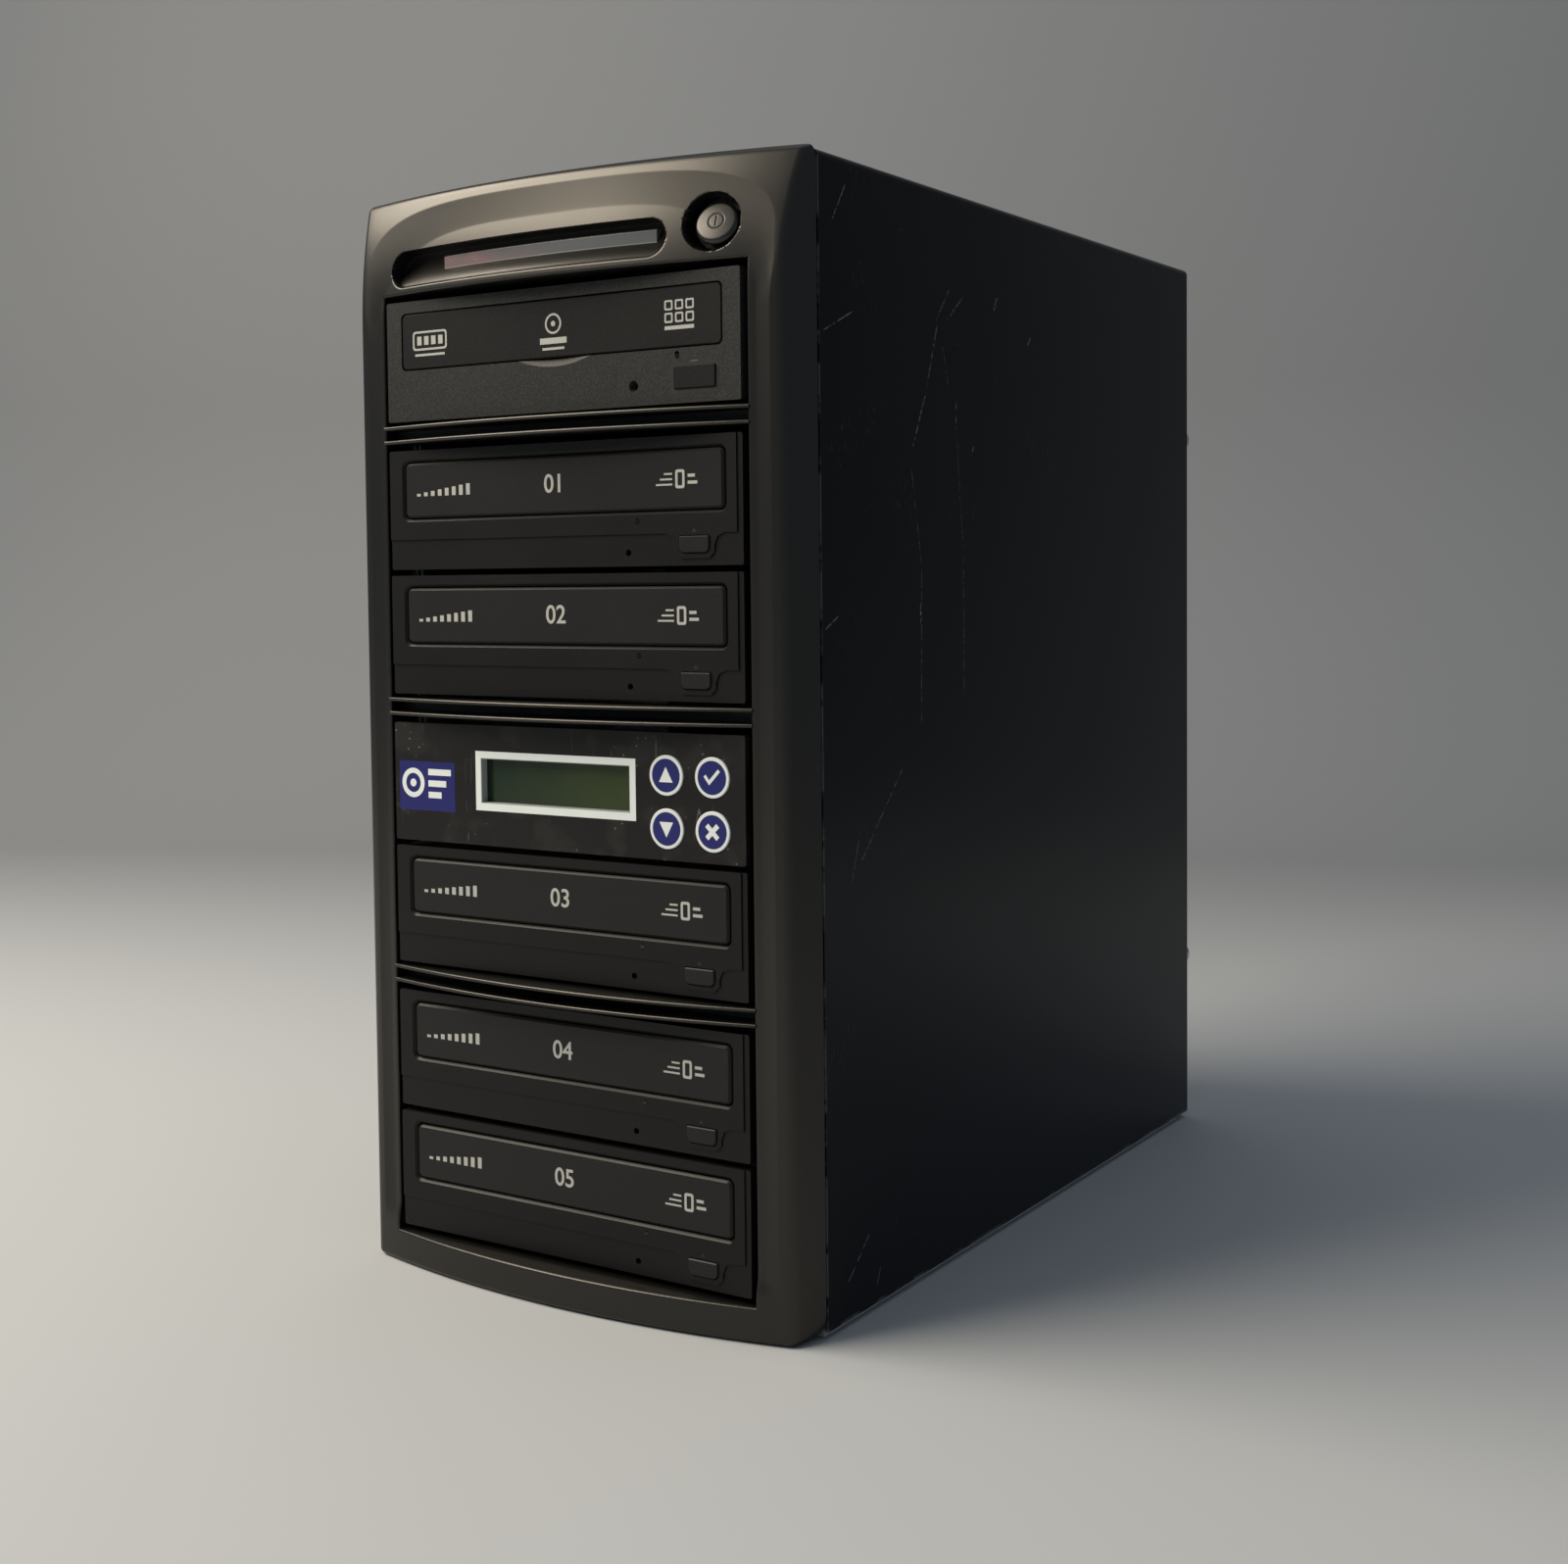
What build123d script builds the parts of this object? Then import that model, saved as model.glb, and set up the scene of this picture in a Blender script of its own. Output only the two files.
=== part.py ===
from build123d import *
from math import cos, radians, sin, sqrt, tan
import os

# A disc duplicator tower: one reader and five writers stacked behind a bowed plastic bezel, a control
# panel with a small display and four keys between them, and a steel case whose top and two sides are one
# U-shaped hood. Millimetres, +Z up, +X to the right seen from the front, front facing -Y. The origin is
# at the middle of the bounding box on the surface that the tower stands on.

# ---------------------------------------------------------------- driving dimensions: case
case_width = 187.4
hood_height = 374.3          # from the hood's lower edge to its top
hood_length = 313.8
hood_lift = 2.5              # hood's lower edge above the floor
sheet = 0.8                  # hood sheet
hood_bend = 2.5              # outside radius of the hood's two long bends
rear_flange = 12.0           # hood's folded rear edge, at the sides
rear_flange_top = 5.0
frame_corner = 2.0           # cut off the top corners of the front frame and the rear panel
chassis_sheet = 1.0
chassis_clearance = 0.4      # between hood and chassis, each side
flange_depth = 10.0          # folded edges of the front frame and the rear panel
base_setback = 10.0          # base pan ends this far before the rear edge of the hood
base_wall = 14.0
wall_gap = 1.0               # between the base's side walls and the flanges above them
frame_lap = 1.0              # the front frame shows this much inside the bezel's opening
pad_height = 1.0             # rubber pad below the base pan
pad_radius = 8.0
pad_inset_x = 22.0
pad_inset_y = 24.0

# ---------------------------------------------------------------- driving dimensions: bezel
bow_radius = 356.0           # plan radius of the bezel's front
bow_sag = 9.0                # bezel's middle, in front of the drive faceplates
seam_setback = 14.5          # bezel's rear edge, behind the drive faceplates
corner_half = 88.3           # half width over the bezel's front corners
corner_setback = 1.5
foot_round = 7.0             # seen from the front, radius of the bezel's lower corners
bezel_rise = 1.0             # bezel's top above the hood's
bezel_drop = 2.0             # bezel reaches this far below the hood's lower edge
bezel_wall = 2.4
lean_length = 45.3           # the head leans back over this height below its top
lean_back = 8.0
bay_half = 76.0              # half width of the opening for the drives
bottom_bar_top = 9.5
head_gap = 2.3               # lower edge of the head above the top faceplate
scoop_half = 84.5            # outline of the shallow hollow in the pillars and the head
scoop_drop = 4.3             # its top below the bezel's top
shoulder_drop = 9.1          # where its top arc meets the corner arcs, below the bezel's top
scoop_corner = 16.0
scoop_foot = 14.0
scoop_slope = 3.0            # width of the slope around the hollow
pillar_depth = 1.3           # hollow's depth in the pillars
head_depth = 4.4             # hollow's depth high in the head, so that the head looks up
deepest_drop = 12.3          # where the hollow reaches that depth, below the bezel's top
rib = 1.4                    # the two ribs of a crossbar
rib_pitch = 5.0
switch_long = 28.0           # the power switch's board behind the head
switch_side = 12.0           # its end to the right of the button's middle
crossbar_lift = 0.7
crossbar_back = 8.0

slot_left = -72.0            # the long recess in the head
slot_right = 48.0
slot_lift = 9.1              # its middle above the head's lower edge
slot_tall = 13.5
slot_depth = 7.0             # at the slot's top; its floor slopes out to its lower lip
slot_shelf = 3.0             # the floor reaches its full depth this far above the slot's middle
light_left = -49.0
light_right = 42.0
light_tall = 4.4
light_setback = 3.6          # front of the light bar behind the hollow's surface

button_x = 64.5
button_lift = 12.2           # above the head's lower edge
button_setback = 1.8         # centre of the bezel's surface at the button
button_tilt = 22.0           # the button looks up by this much
button_turn = 10.5           # and outwards by this much
dish_radius = 10.0
dish_shift = 1.0             # the dish's centre lies this far left of the button's
dish_depth = 4.6
button_proud = 1.4
button_radius = 7.2
button_round = 1.6
button_stem = 2.5
button_travel = 2.0
button_gap = 0.3
plunger_radius = 1.8
plunger_long = 2.5

# ---------------------------------------------------------------- driving dimensions: bays and drives
face_width = 148.0
face_height = 41.4
face_thick = 5.0
first_bay = 11.6             # lower edge of the lowest faceplate, above the hood's lower edge
pair_pitch = 43.5            # two faceplates in one group
group_pitch = 95.0           # from group to group, with a crossbar between
drive_width = 146.0
drive_height = 41.3
drive_depth = 160.0
drive_sheet = 0.8
side_screw_first = 48.0      # a drive's side screws behind its front
side_screw_pitch = 79.0
side_screw_lift = 10.0
rail_clearance = 0.3
rail_top = 4.0               # the rails' upper edge above the head's lower edge
door_width = 134.0
door_height = 19.1
door_lift = 17.9             # lower edge of the tray's door above the faceplate's lower edge
door_thick = 3.0
door_gap = 0.4
door_round = 2.0
door_bevel = 0.8
hook_inset = 6.0             # the door's tongue in the front of the tray
hook_margin = 1.0
hook_depth = 2.0
tray_width = 129.0
tray_travel = 136.0
tray_grip = 16.0             # what stays in the drive of a tray that is out
tray_height = 7.0
tray_lift = 24.0             # tray's underside above the faceplate's lower edge
disc_radius = 60.5
disc_recess = 2.6
small_disc_radius = 40.5
small_disc_recess = 1.2
disc_centre = 72.0           # disc centre behind the faceplate plane, tray in
tray_hole = 17.5
sled_slot = 34.0
tray_floor = 1.6
tray_rim = 3.0
chin_height = 10.4           # lower strip of a writer's faceplate, set back a little
chin_setback = 0.5
chin_right = 71.9            # the raised part of a writer's faceplate ends here
chin_flare = 4.0             # its rounded way down to the eject button
chin_margin = 1.8            # and its width around the button
opening_bevel = 0.9          # around the door's opening in a writer's faceplate
thumb_half = 16.0            # hollow under the reader's door, half its width
thumb_drop = 3.0
thumb_radius_y = 98.0
eject_proud = 0.6
eject_travel = 1.0
eject_behind = 0.5           # the button reaches this far behind the faceplate when it is pressed home
eject_round = 0.5            # its upper corners
eject_bevel = 0.3
lamp_radius = 0.9            # the hole of the busy lamp
lamp_depth = 3.0
pin_hole = 0.8               # the emergency eject hole, countersunk
sink_depth = 2.0
fit_gap = 0.3                # running gap around every push button
deck_height = 3.0
deck_lift = 13.0
deck_width = 130.0
runner_gap = 0.3             # between a tray and its two runners
deck_length = 118.0
spindle_radius = 13.0
spindle_rise = 5.6
spindle_nose = 2.5
deck_margin = 12.0           # the sled's slot in the deck, from the spindle and from the deck's rear
sled_back = 38.0             # middle of the sled behind the spindle
sled_long = 24.0
sled_lap = 2.0
sled_rise = 4.0
lens_radius = 4.0
lens_rise = 2.0
post_radius = 4.0
post_inset = 6.0
runner_wide = 4.0

# ---------------------------------------------------------------- driving dimensions: control panel
plate_thick = 3.0
window_left = -34.5
window_right = 29.0
window_low = 14.6            # window and keys above the panel's lower edge
window_high = 30.2
lens_thick = 0.8
lens_lap = 1.6
key_radius = 6.6
key_left = 43.65
key_right = 61.55
key_low = 10.3
key_high = 27.6
key_proud = 0.4
key_travel = 0.5
board = 1.6                  # printed circuit boards
panel_board_depth = 6.8
arm_length = 130.0
arm_thick = 1.6
arm_half = 72.6
arm_top = 26.0
ledge = 4.0
module_low_edge = 8.0        # the display board's lower and upper edges, inside the panel's
module_high_edge = 3.0
key_switch = 3.0             # half the width of a key's switch on that board
key_switch_tall = 1.2
key_rest_gap = 0.2
port_pitch = 14.0            # the drives' ports on the controller board
port_first = -50.0
port_half = 3.0
port_deep = 12.0
port_tall = 8.0
chip_wide = 44.0             # the controller's chip, at the board's middle
chip_tall = 3.0
chip_back = 40.0
memory_wide = 24.0
memory_back = 30.0
memory_x = 48.0

# ---------------------------------------------------------------- driving dimensions: power and air
psu_width = 150.0
psu_height = 86.0
psu_depth = 140.0
psu_sheet = 1.0
psu_drop = 3.0               # top of the power supply below the hood's underside
psu_screw_inset = 6.0
psu_margin = 3.0             # the rear panel's cutout inside the power supply's outline
psu_ear = 9.0                # half the width of what stays of the panel around each of its screws
psu_vents = 5                # in the power supply's front wall
psu_vent_wide = 14.0
psu_vent_tall = 50.0
psu_vent_pitch = 26.0
vent_rows = 5                # in the rear panel
vent_pitch = 9.0
vent_tall = 3.6
vent_half = 45.0
board_post = 6.0
board_post_radius = 3.0
psu_board_front = 8.0        # the power supply's board, from the inside of its case
psu_board_long = 100.0
psu_board_side = 8.0
transformer_wide = 34.0
transformer_tall = 28.0
sink_x = 33.0                # two heat sinks
sink_thick = 2.5
sink_margin = 14.0
sink_tall = 38.0
capacitor_radius = 11.0
capacitor_tall = 32.0
capacitor_x = -50.0
capacitor_pitch = 28.0
fan_size = 80.0
fan_depth = 25.0
fan_bore = 38.0
fan_hole_pitch = 71.5
fan_rotor_radius = 36.5
fan_hub_radius = 16.0
fan_axle = 1.5
fan_spider = 3.0             # arms and plate that carry the motor
fan_bearing = 2.5
bearing_long = 12.0
rotor_inset = 2.0
blade_twist = 38.0
blade_chord = 21.0
axle_clearance = 0.05
fan_blades = 7
blade_thick = 1.6
psu_fan_x = 20.0
case_fan_height = 72.0
guard_wire = 1.6
guard_rings = 5
guard_hub = 4.0
inlet_x = -48.0
inlet_width = 27.0
inlet_tall = 20.0
inlet_drop = 13.0
inlet_depth = 22.0
inlet_wall = 1.8
inlet_lip = 1.6
inlet_flange = 2.0
inlet_round = 1.5
socket_depth = 17.0
blade_wide = 2.0             # the inlet's three blades
blade_tall = 4.4
blade_pitch = 7.0
blade_drop = 1.5
earth_rise = 2.5
blade_inset = 3.0
rocker_rise = 12.0
rocker_width = 12.0
rocker_tall = 20.0
rocker_tip = 7.0             # the rocker rests tipped by this angle
rocker_gap = 0.5
rocker_pin = 1.2
rocker_depth = 8.0
rocker_room = 4.0            # free depth behind the rocker
rocker_rim = 4.5             # ends of the rocker's saddle in front of its pins
rocker_dip = 2.5             # and its middle
rocker_hollow = 19.5
rocker_sink = 2.5            # its pins behind the rear panel's front face
screw_radius = 1.5
screw_hole = 1.7
screw_head = 3.0
screw_head_tall = 2.0
screw_long = 5.0
thumb_radius = 5.0
thumb_tall = 6.0
thumb_long = 7.0
thumb_bevel = 0.8
thumb_slot = 1.2
thumb_inset = 6.0
thumb_low = 70.0
thumb_high = 300.0
cable_radius = 1.5
trunk_radius = 2.4
plug_depth = 9.0
plug_lift = 13.0             # plugs above the lower edge of their faceplate
data_plug = 5.0              # half the width and height of a data plug and of a power plug
data_thick = 2.0
power_plug = 11.0
power_thick = 3.0
cable_clear = 3.5            # from the data plugs to the nearest turn of a cable
cable_pitch = 4.0
cable_bend = 4.0
cable_x = 30.0
trunk_x = -45.0
trunk_drop = 10.0            # the feed from the power supply, below the top plug

# ---------------------------------------------------------------- derived planes
half = case_width / 2
bezel_top = hood_height + bezel_rise
lean_start = bezel_top - lean_length
scoop_top = bezel_top - scoop_drop
scoop_shoulder = bezel_top - shoulder_drop
head_deepest = bezel_top - deepest_drop
bays = 7
groups = 3                   # crossbars between the four groups of bays
head_bottom = first_bay + groups * group_pitch + face_height + head_gap
slot_height = head_bottom + slot_lift
button_height = head_bottom + button_lift
total_depth = bow_sag + seam_setback + hood_length + thumb_tall
face_y = bow_sag - total_depth / 2
bow_axis_y = face_y - bow_sag + bow_radius
seam_y = face_y + seam_setback
rear_y = seam_y + hood_length
chassis_half = half - sheet - chassis_clearance
frame_back = seam_y + chassis_sheet
panel_rear = rear_y - sheet                  # rear face of the rear panel, under the hood's rear flange
panel_front = panel_rear - chassis_sheet
base_under = pad_height
base_top = base_under + chassis_sheet
drive_front = face_y + face_thick
drive_rear = drive_front + drive_depth
rail_inner = drive_width / 2 + rail_clearance


def height(h):
    """Z of a point h above the hood's lower edge."""
    return hood_lift + h


def bay_bottom(n):
    """Lower edge of faceplate n, counted from the bottom."""
    return height(first_bay + (n // 2) * group_pitch + (n % 2) * pair_pitch)


top_inside = height(hood_height) - sheet - chassis_clearance
psu_top = height(hood_height) - sheet - psu_drop
psu_bottom = psu_top - psu_height
psu_front = panel_front - psu_depth
psu_mid = (psu_top + psu_bottom) / 2
display_bay = 3
drive_bays = {"reader": 6, "writer_1": 5, "writer_2": 4, "writer_3": 2, "writer_4": 1, "writer_5": 0}
side_screw_y = (drive_front + side_screw_first, drive_front + side_screw_first + side_screw_pitch)


# ---------------------------------------------------------------- helpers
def block(x0, x1, y0, y1, z0, z1):
    return Pos((x0 + x1) / 2, (y0 + y1) / 2, (z0 + z1) / 2) * Box(x1 - x0, y1 - y0, z1 - z0)


def rod_y(radius, x, z, y0, y1):
    return Pos(x, (y0 + y1) / 2, z) * Rot(90, 0, 0) * Cylinder(radius, y1 - y0)


def rod_x(radius, y, z, x0, x1):
    return Pos((x0 + x1) / 2, y, z) * Rot(0, 90, 0) * Cylinder(radius, x1 - x0)


def rod_z(radius, x, y, z0, z1):
    return Pos(x, y, (z0 + z1) / 2) * Cylinder(radius, z1 - z0)


def soft_block(x0, x1, y0, y1, z0, z1, radius):
    """A block with its four edges along Y rounded."""
    body = block(x0, x1, y0, y1, z0, z1)
    return fillet(body.edges().filter_by(Axis.Y), radius)


def save(name, shape):
    solids = shape.solids() if hasattr(shape, "solids") else [s for piece in shape for s in piece.solids()]
    whole = solids[0] if len(solids) == 1 else Compound(children=list(solids))
    export_step(whole, f"parts/{name}.step")


# ---------------------------------------------------------------- bezel
def bowed(x_half, y_back, z0, z1):
    """A bar across the front whose face follows the bow."""
    bar = block(-x_half, x_half, face_y - 2 * bow_sag, y_back, z0, z1)
    return bar & Pos(0, bow_axis_y, (z0 + z1) / 2) * Cylinder(bow_radius, z1 - z0)


def lean(h):
    """How far the head leans back at a height, along an arc that starts upright."""
    return lean_back * (max(0.0, h - lean_start) / (bezel_top - lean_start)) ** 2


def bezel_blank():
    low, lean_low, high = height(-bezel_drop), height(lean_start), height(bezel_top)
    front = face_y - 2 * bow_sag
    slope = (half - corner_half) / (seam_setback - corner_setback)
    tip = corner_half - slope * (face_y + corner_setback - front)
    plan = Polyline([(-tip, front), (tip, front), (half, seam_y), (-half, seam_y)], close=True)
    prism = Pos(0, 0, low) * extrude(make_face(plan), high - low)
    top_radius = bow_radius - lean_back
    edges = [Line((0, 0, low), (bow_radius, 0, low)), Line((bow_radius, 0, low), (bow_radius, 0, lean_low)),
             TangentArc((bow_radius, 0, lean_low), (top_radius, 0, high), tangent=(0, 0, 1)),
             Line((top_radius, 0, high), (0, 0, high)), Line((0, 0, high), (0, 0, low))]
    outer = Pos(0, bow_axis_y, 0) * revolve(make_face(edges), Axis.Z)
    outline = block(-half, half, front, seam_y, low, high)
    outline = fillet(outline.edges().filter_by(Axis.Y).sort_by(Axis.Z)[:2], foot_round)
    outline = fillet(outline.edges().filter_by(Axis.Y).sort_by(Axis.Z)[-2:], hood_bend)
    return prism & outer & outline


def hollow_depth(h):
    """Depth of the hollow's surface below the bow, at a height."""
    rise = min(max((h - lean_start) / (head_deepest - lean_start), 0.0), 1.0)
    return pillar_depth + (head_depth - pillar_depth) * rise ** 1.5


def hollow_radius(h):
    return bow_radius - lean(h) - hollow_depth(h)


def hollow_core():
    """What stays behind the hollow's surface, a solid of revolution about the bow's axis."""
    low, high = scoop_foot - 10, bezel_top + 10
    heights = [lean_start + (high - lean_start) * k / 4 for k in range(5)]
    points = [(hollow_radius(h), 0, height(h)) for h in heights]
    curve = Spline(points, tangents=[(0, 0, 1), (-0.3, 0, 1)])
    under, over = (0, 0, height(low)), (0, 0, height(high))
    outer = (hollow_radius(low), 0, height(low))
    edges = [Line(under, outer), Line(outer, curve @ 0), curve, Line(curve @ 1, over), Line(over, under)]
    return Pos(0, bow_axis_y, 0) * revolve(make_face(edges), Axis.Z)


def arch(y, grow):
    """The hollow's outline in a plane y, grown on every side."""
    w, foot, top = scoop_half + grow, height(scoop_foot) - grow, height(scoop_top) + grow
    shoulder, r = height(scoop_shoulder) + grow, scoop_corner + grow
    turn_x, turn_z = w - r * (1 - cos(radians(45))), shoulder - r * (1 - sin(radians(45)))
    left = ThreePointArc((-w, y, shoulder - r), (-turn_x, y, turn_z), (r - w, y, shoulder))
    right = ThreePointArc((w - r, y, shoulder), (turn_x, y, turn_z), (w, y, shoulder - r))
    edges = [Line((w, y, foot), (-w, y, foot)), Line((-w, y, foot), (-w, y, shoulder - r)), left,
             ThreePointArc((r - w, y, shoulder), (0, y, top), (w - r, y, shoulder)), right,
             Line((w, y, shoulder - r), (w, y, foot))]
    return make_face(edges)


def scoop_cutter():
    """The shallow hollow of the pillars and the head, with sloping edges."""
    reach = 4 * scoop_slope
    front, back = face_y - reach, face_y + reach
    return loft([arch(front, scoop_slope * 2), arch(back, -scoop_slope * 2)], ruled=True) - hollow_core()


def slot_core():
    """What stays behind the slot's floor, which slopes from the lower lip to the light bar."""
    lip, shelf, top = slot_height - slot_tall / 2, slot_height + slot_shelf, slot_height + slot_tall
    below = lip - slot_tall / 2
    start = hollow_radius(lip)
    deep = hollow_radius(shelf) - slot_depth
    top_radius = deep - lean(top) + lean(shelf)
    points = [(0, below), (start + 2, below), (start + 0.2, lip), (deep, shelf), (top_radius, top), (0, top)]
    wire = Polyline([(r, 0, height(h)) for r, h in points], close=True)
    return Pos(0, bow_axis_y, 0) * revolve(make_face(wire), Axis.Z)


def button_frame():
    """Location on the bezel at the power button, Z pointing out of the surface."""
    centre = Pos(button_x, face_y + button_setback, height(button_height))
    return centre * Rot(0, 0, button_turn) * Rot(90 - button_tilt, 0, 0)


def stadium(x0, x1, z_mid, tall, y0, y1):
    return soft_block(x0, x1, y0, y1, z_mid - tall / 2, z_mid + tall / 2, tall / 2 - 0.01)


def make_bezel():
    front = face_y - 3 * bow_sag
    sill = height(bottom_bar_top)
    body = bezel_blank() - scoop_cutter()
    body -= block(-bay_half, bay_half, front, seam_y, sill, height(head_bottom))
    slot = stadium(slot_left, slot_right, height(slot_height), slot_tall, front, seam_y)
    body -= slot - slot_core()
    body -= block(light_left, light_right, face_y - bow_sag, seam_y, height(slot_height) - light_tall / 2,
                  height(slot_height) + light_tall / 2)
    pocket = face_y + slot_depth + bezel_wall
    side_in = bay_half + bezel_wall
    side_out = corner_half - 0.3 * bezel_wall
    head_in, head_out = height(head_bottom) + bezel_wall, height(bezel_top) - bezel_wall
    body -= block(-side_out, side_out, pocket, seam_y, head_in, head_out)
    for side in (-1, 1):
        x0, x1 = sorted((side * side_in, side * side_out))
        body -= block(x0, x1, face_y + corner_setback + 2 * bezel_wall, seam_y, sill, head_in)
    at_button = button_frame()
    body -= at_button * Pos(-dish_shift, 0, dish_radius - dish_depth) * Cylinder(dish_radius, 2 * dish_radius)
    body -= at_button * Cylinder(button_stem + button_gap, 4 * seam_setback)
    for group in range(groups):
        top = bay_bottom(2 * group + 1) + face_height
        middle = (top + bay_bottom(2 * group + 2)) / 2 + crossbar_lift
        low, high = middle - rib_pitch / 2, middle + rib_pitch / 2
        back = face_y + crossbar_back
        for z in (low, high):
            body += bowed(bay_half, back, z - rib / 2, z + rib / 2)
        body += block(-bay_half, bay_half, back - bezel_wall, back, low, high)
    return body


def make_light_bar():
    """The clear bar, whose front follows the bow."""
    z0, z1 = height(slot_height) - light_tall / 2 + fit_gap, height(slot_height) + light_tall / 2 - fit_gap
    bar = block(light_left + fit_gap, light_right - fit_gap, face_y - bow_sag, seam_y, z0, z1)
    radius = hollow_radius(slot_height) - light_setback
    return bar & Pos(0, bow_axis_y, 0) * Cylinder(radius, 4 * height(bezel_top))


def make_power_button():
    """A cap with its stem; pressed home, the cap stops a gap short of the dish's floor."""
    under = button_travel + button_gap - dish_depth
    cap = rod_z(button_radius, 0, 0, under, button_proud)
    cap = fillet(cap.edges().filter_by(GeomType.CIRCLE).sort_by(Axis.Z)[-1:], button_round)
    stem_bottom = button_travel + button_gap + button_stem * tan(radians(button_tilt)) - button_reach()
    return button_frame() * (cap + rod_z(button_stem, 0, 0, stem_bottom, 0))


def button_reach():
    """From the bezel's surface to the switch's plunger, along the button."""
    return (seam_setback - board - plunger_long - button_setback) / cos(radians(button_tilt))


def make_power_switch():
    back = seam_y
    front = back - board
    z0, z1 = height(head_bottom) + 2 * bezel_wall, height(bezel_top) - 3 * bezel_wall
    x1 = button_x + switch_side
    body = block(x1 - switch_long, x1, front, back, z0, z1)
    tip = (button_frame() * Pos(0, 0, -button_reach())).position
    return body + rod_y(plunger_radius, tip.X, tip.Z, front - plunger_long, front)


# ---------------------------------------------------------------- drives
def side_screw_spots(n):
    return [(y, bay_bottom(n) + side_screw_lift) for y in side_screw_y]


def make_drive_case(n):
    z0 = bay_bottom(n) + (face_height - drive_height) / 2
    z1 = z0 + drive_height
    w = drive_width / 2
    s = drive_sheet
    body = block(-w, w, drive_front, drive_rear, z0, z1)
    body -= block(-w + s, w - s, drive_front - s, drive_rear - s, z0 + s, z1 - s)
    for y, z in side_screw_spots(n):
        body -= rod_x(screw_hole, y, z, -w - s, w + s)
    return body


def chin(z0, eject):
    """What is cut from a writer's faceplate so that its upper part stands proud, down to the eject button."""
    w, low, top = face_width / 2 + 1, z0 - 1, z0 + chin_height
    x0, x1, base = eject[0] - chin_margin, eject[1] + chin_margin, z0 + eject[2] - chin_margin
    f = chin_flare
    over = z0 + face_height + 1
    right = [(w, low), (w, over), (chin_right, over), (chin_right, top), (x1 + f, top),
             (x1 + 0.3 * f, top - 0.3 * f), (x1, top - f), (x1, base + 2), (x1 - 2, base)]
    left = [(x0 + 2, base), (x0, base + 2), (x0, top - f), (x0 - 0.3 * f, top - 0.3 * f), (x0 - f, top),
            (-w, top)]
    outline = Polyline([(-w, low)] + right + left, close=True)
    return Pos(0, face_y + chin_setback, 0) * extrude(Rot(90, 0, 0) * make_face(outline), 2 * chin_setback)


def make_faceplate(n, writer, eject):
    z0 = bay_bottom(n)
    w = face_width / 2
    body = soft_block(-w, w, face_y, drive_front, z0, z0 + face_height, 0.8)
    if writer:
        body -= chin(z0, eject)
    d = door_width / 2 + door_gap
    door_low = z0 + door_lift - door_gap
    door_high = door_low + door_height + 2 * door_gap
    body -= soft_block(-d, d, face_y - 1, drive_front + 1, door_low, door_high, door_round)
    if writer:
        b = opening_bevel
        rim = soft_block(-d - b, d + b, face_y - 1, face_y + b, door_low - b, door_high + b, door_round + b)
        body -= chamfer(rim.faces().sort_by(Axis.Y)[-1].edges(), b - 0.01)
    else:
        circle = (thumb_half ** 2 + thumb_drop ** 2) / (2 * thumb_drop)
        back = sqrt(thumb_radius_y ** 2 - circle ** 2)
        ball = Pos(0, face_y - back, z0 + door_lift - thumb_drop + circle) * Sphere(thumb_radius_y)
        body -= ball & block(-d, d, face_y - 1, drive_front, z0, z0 + door_lift)
    body -= eject_block(z0, eject, fit_gap, face_y - 1, drive_front + 1)
    lamp, hole, sink = eject[5:]
    body -= rod_y(lamp_radius, lamp[0], z0 + lamp[1], face_y - 1, face_y + lamp_depth)
    body -= rod_y(pin_hole, hole[0], z0 + hole[1], face_y - 1, drive_front + 1)
    cone = Cone(sink, pin_hole / 2, 2 * sink_depth)
    body -= Pos(hole[0], face_y + sink_depth / 2, z0 + hole[1]) * Rot(-90, 0, 0) * cone
    return body


def eject_block(z0, eject, grow, y0, y1):
    """The eject button's outline, grown on every side, from y0 to y1; its lower corners are rounder."""
    x0, x1, low, high, low_round = eject[:5]
    body = block(x0 - grow, x1 + grow, y0, y1, z0 + low - grow, z0 + high + grow)
    body = fillet(body.edges().filter_by(Axis.Y).sort_by(Axis.Z)[:2], low_round + grow)
    return fillet(body.edges().filter_by(Axis.Y).sort_by(Axis.Z)[-2:], eject_round + grow)


def make_door(n, writer):
    z0 = bay_bottom(n) + door_lift
    w = door_width / 2
    door = soft_block(-w, w, face_y, face_y + door_thick, z0, z0 + door_height, door_round)
    front = door.faces().sort_by(Axis.Y)[0]
    door = chamfer(front.edges(), door_bevel if writer else 0.4)
    x = tray_width / 2 - hook_inset
    low = bay_bottom(n) + tray_lift + hook_margin
    high = bay_bottom(n) + tray_lift + tray_height - hook_margin
    return door + block(-x, x, face_y + door_thick, face_y + door_thick + hook_depth, low, high)


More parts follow.
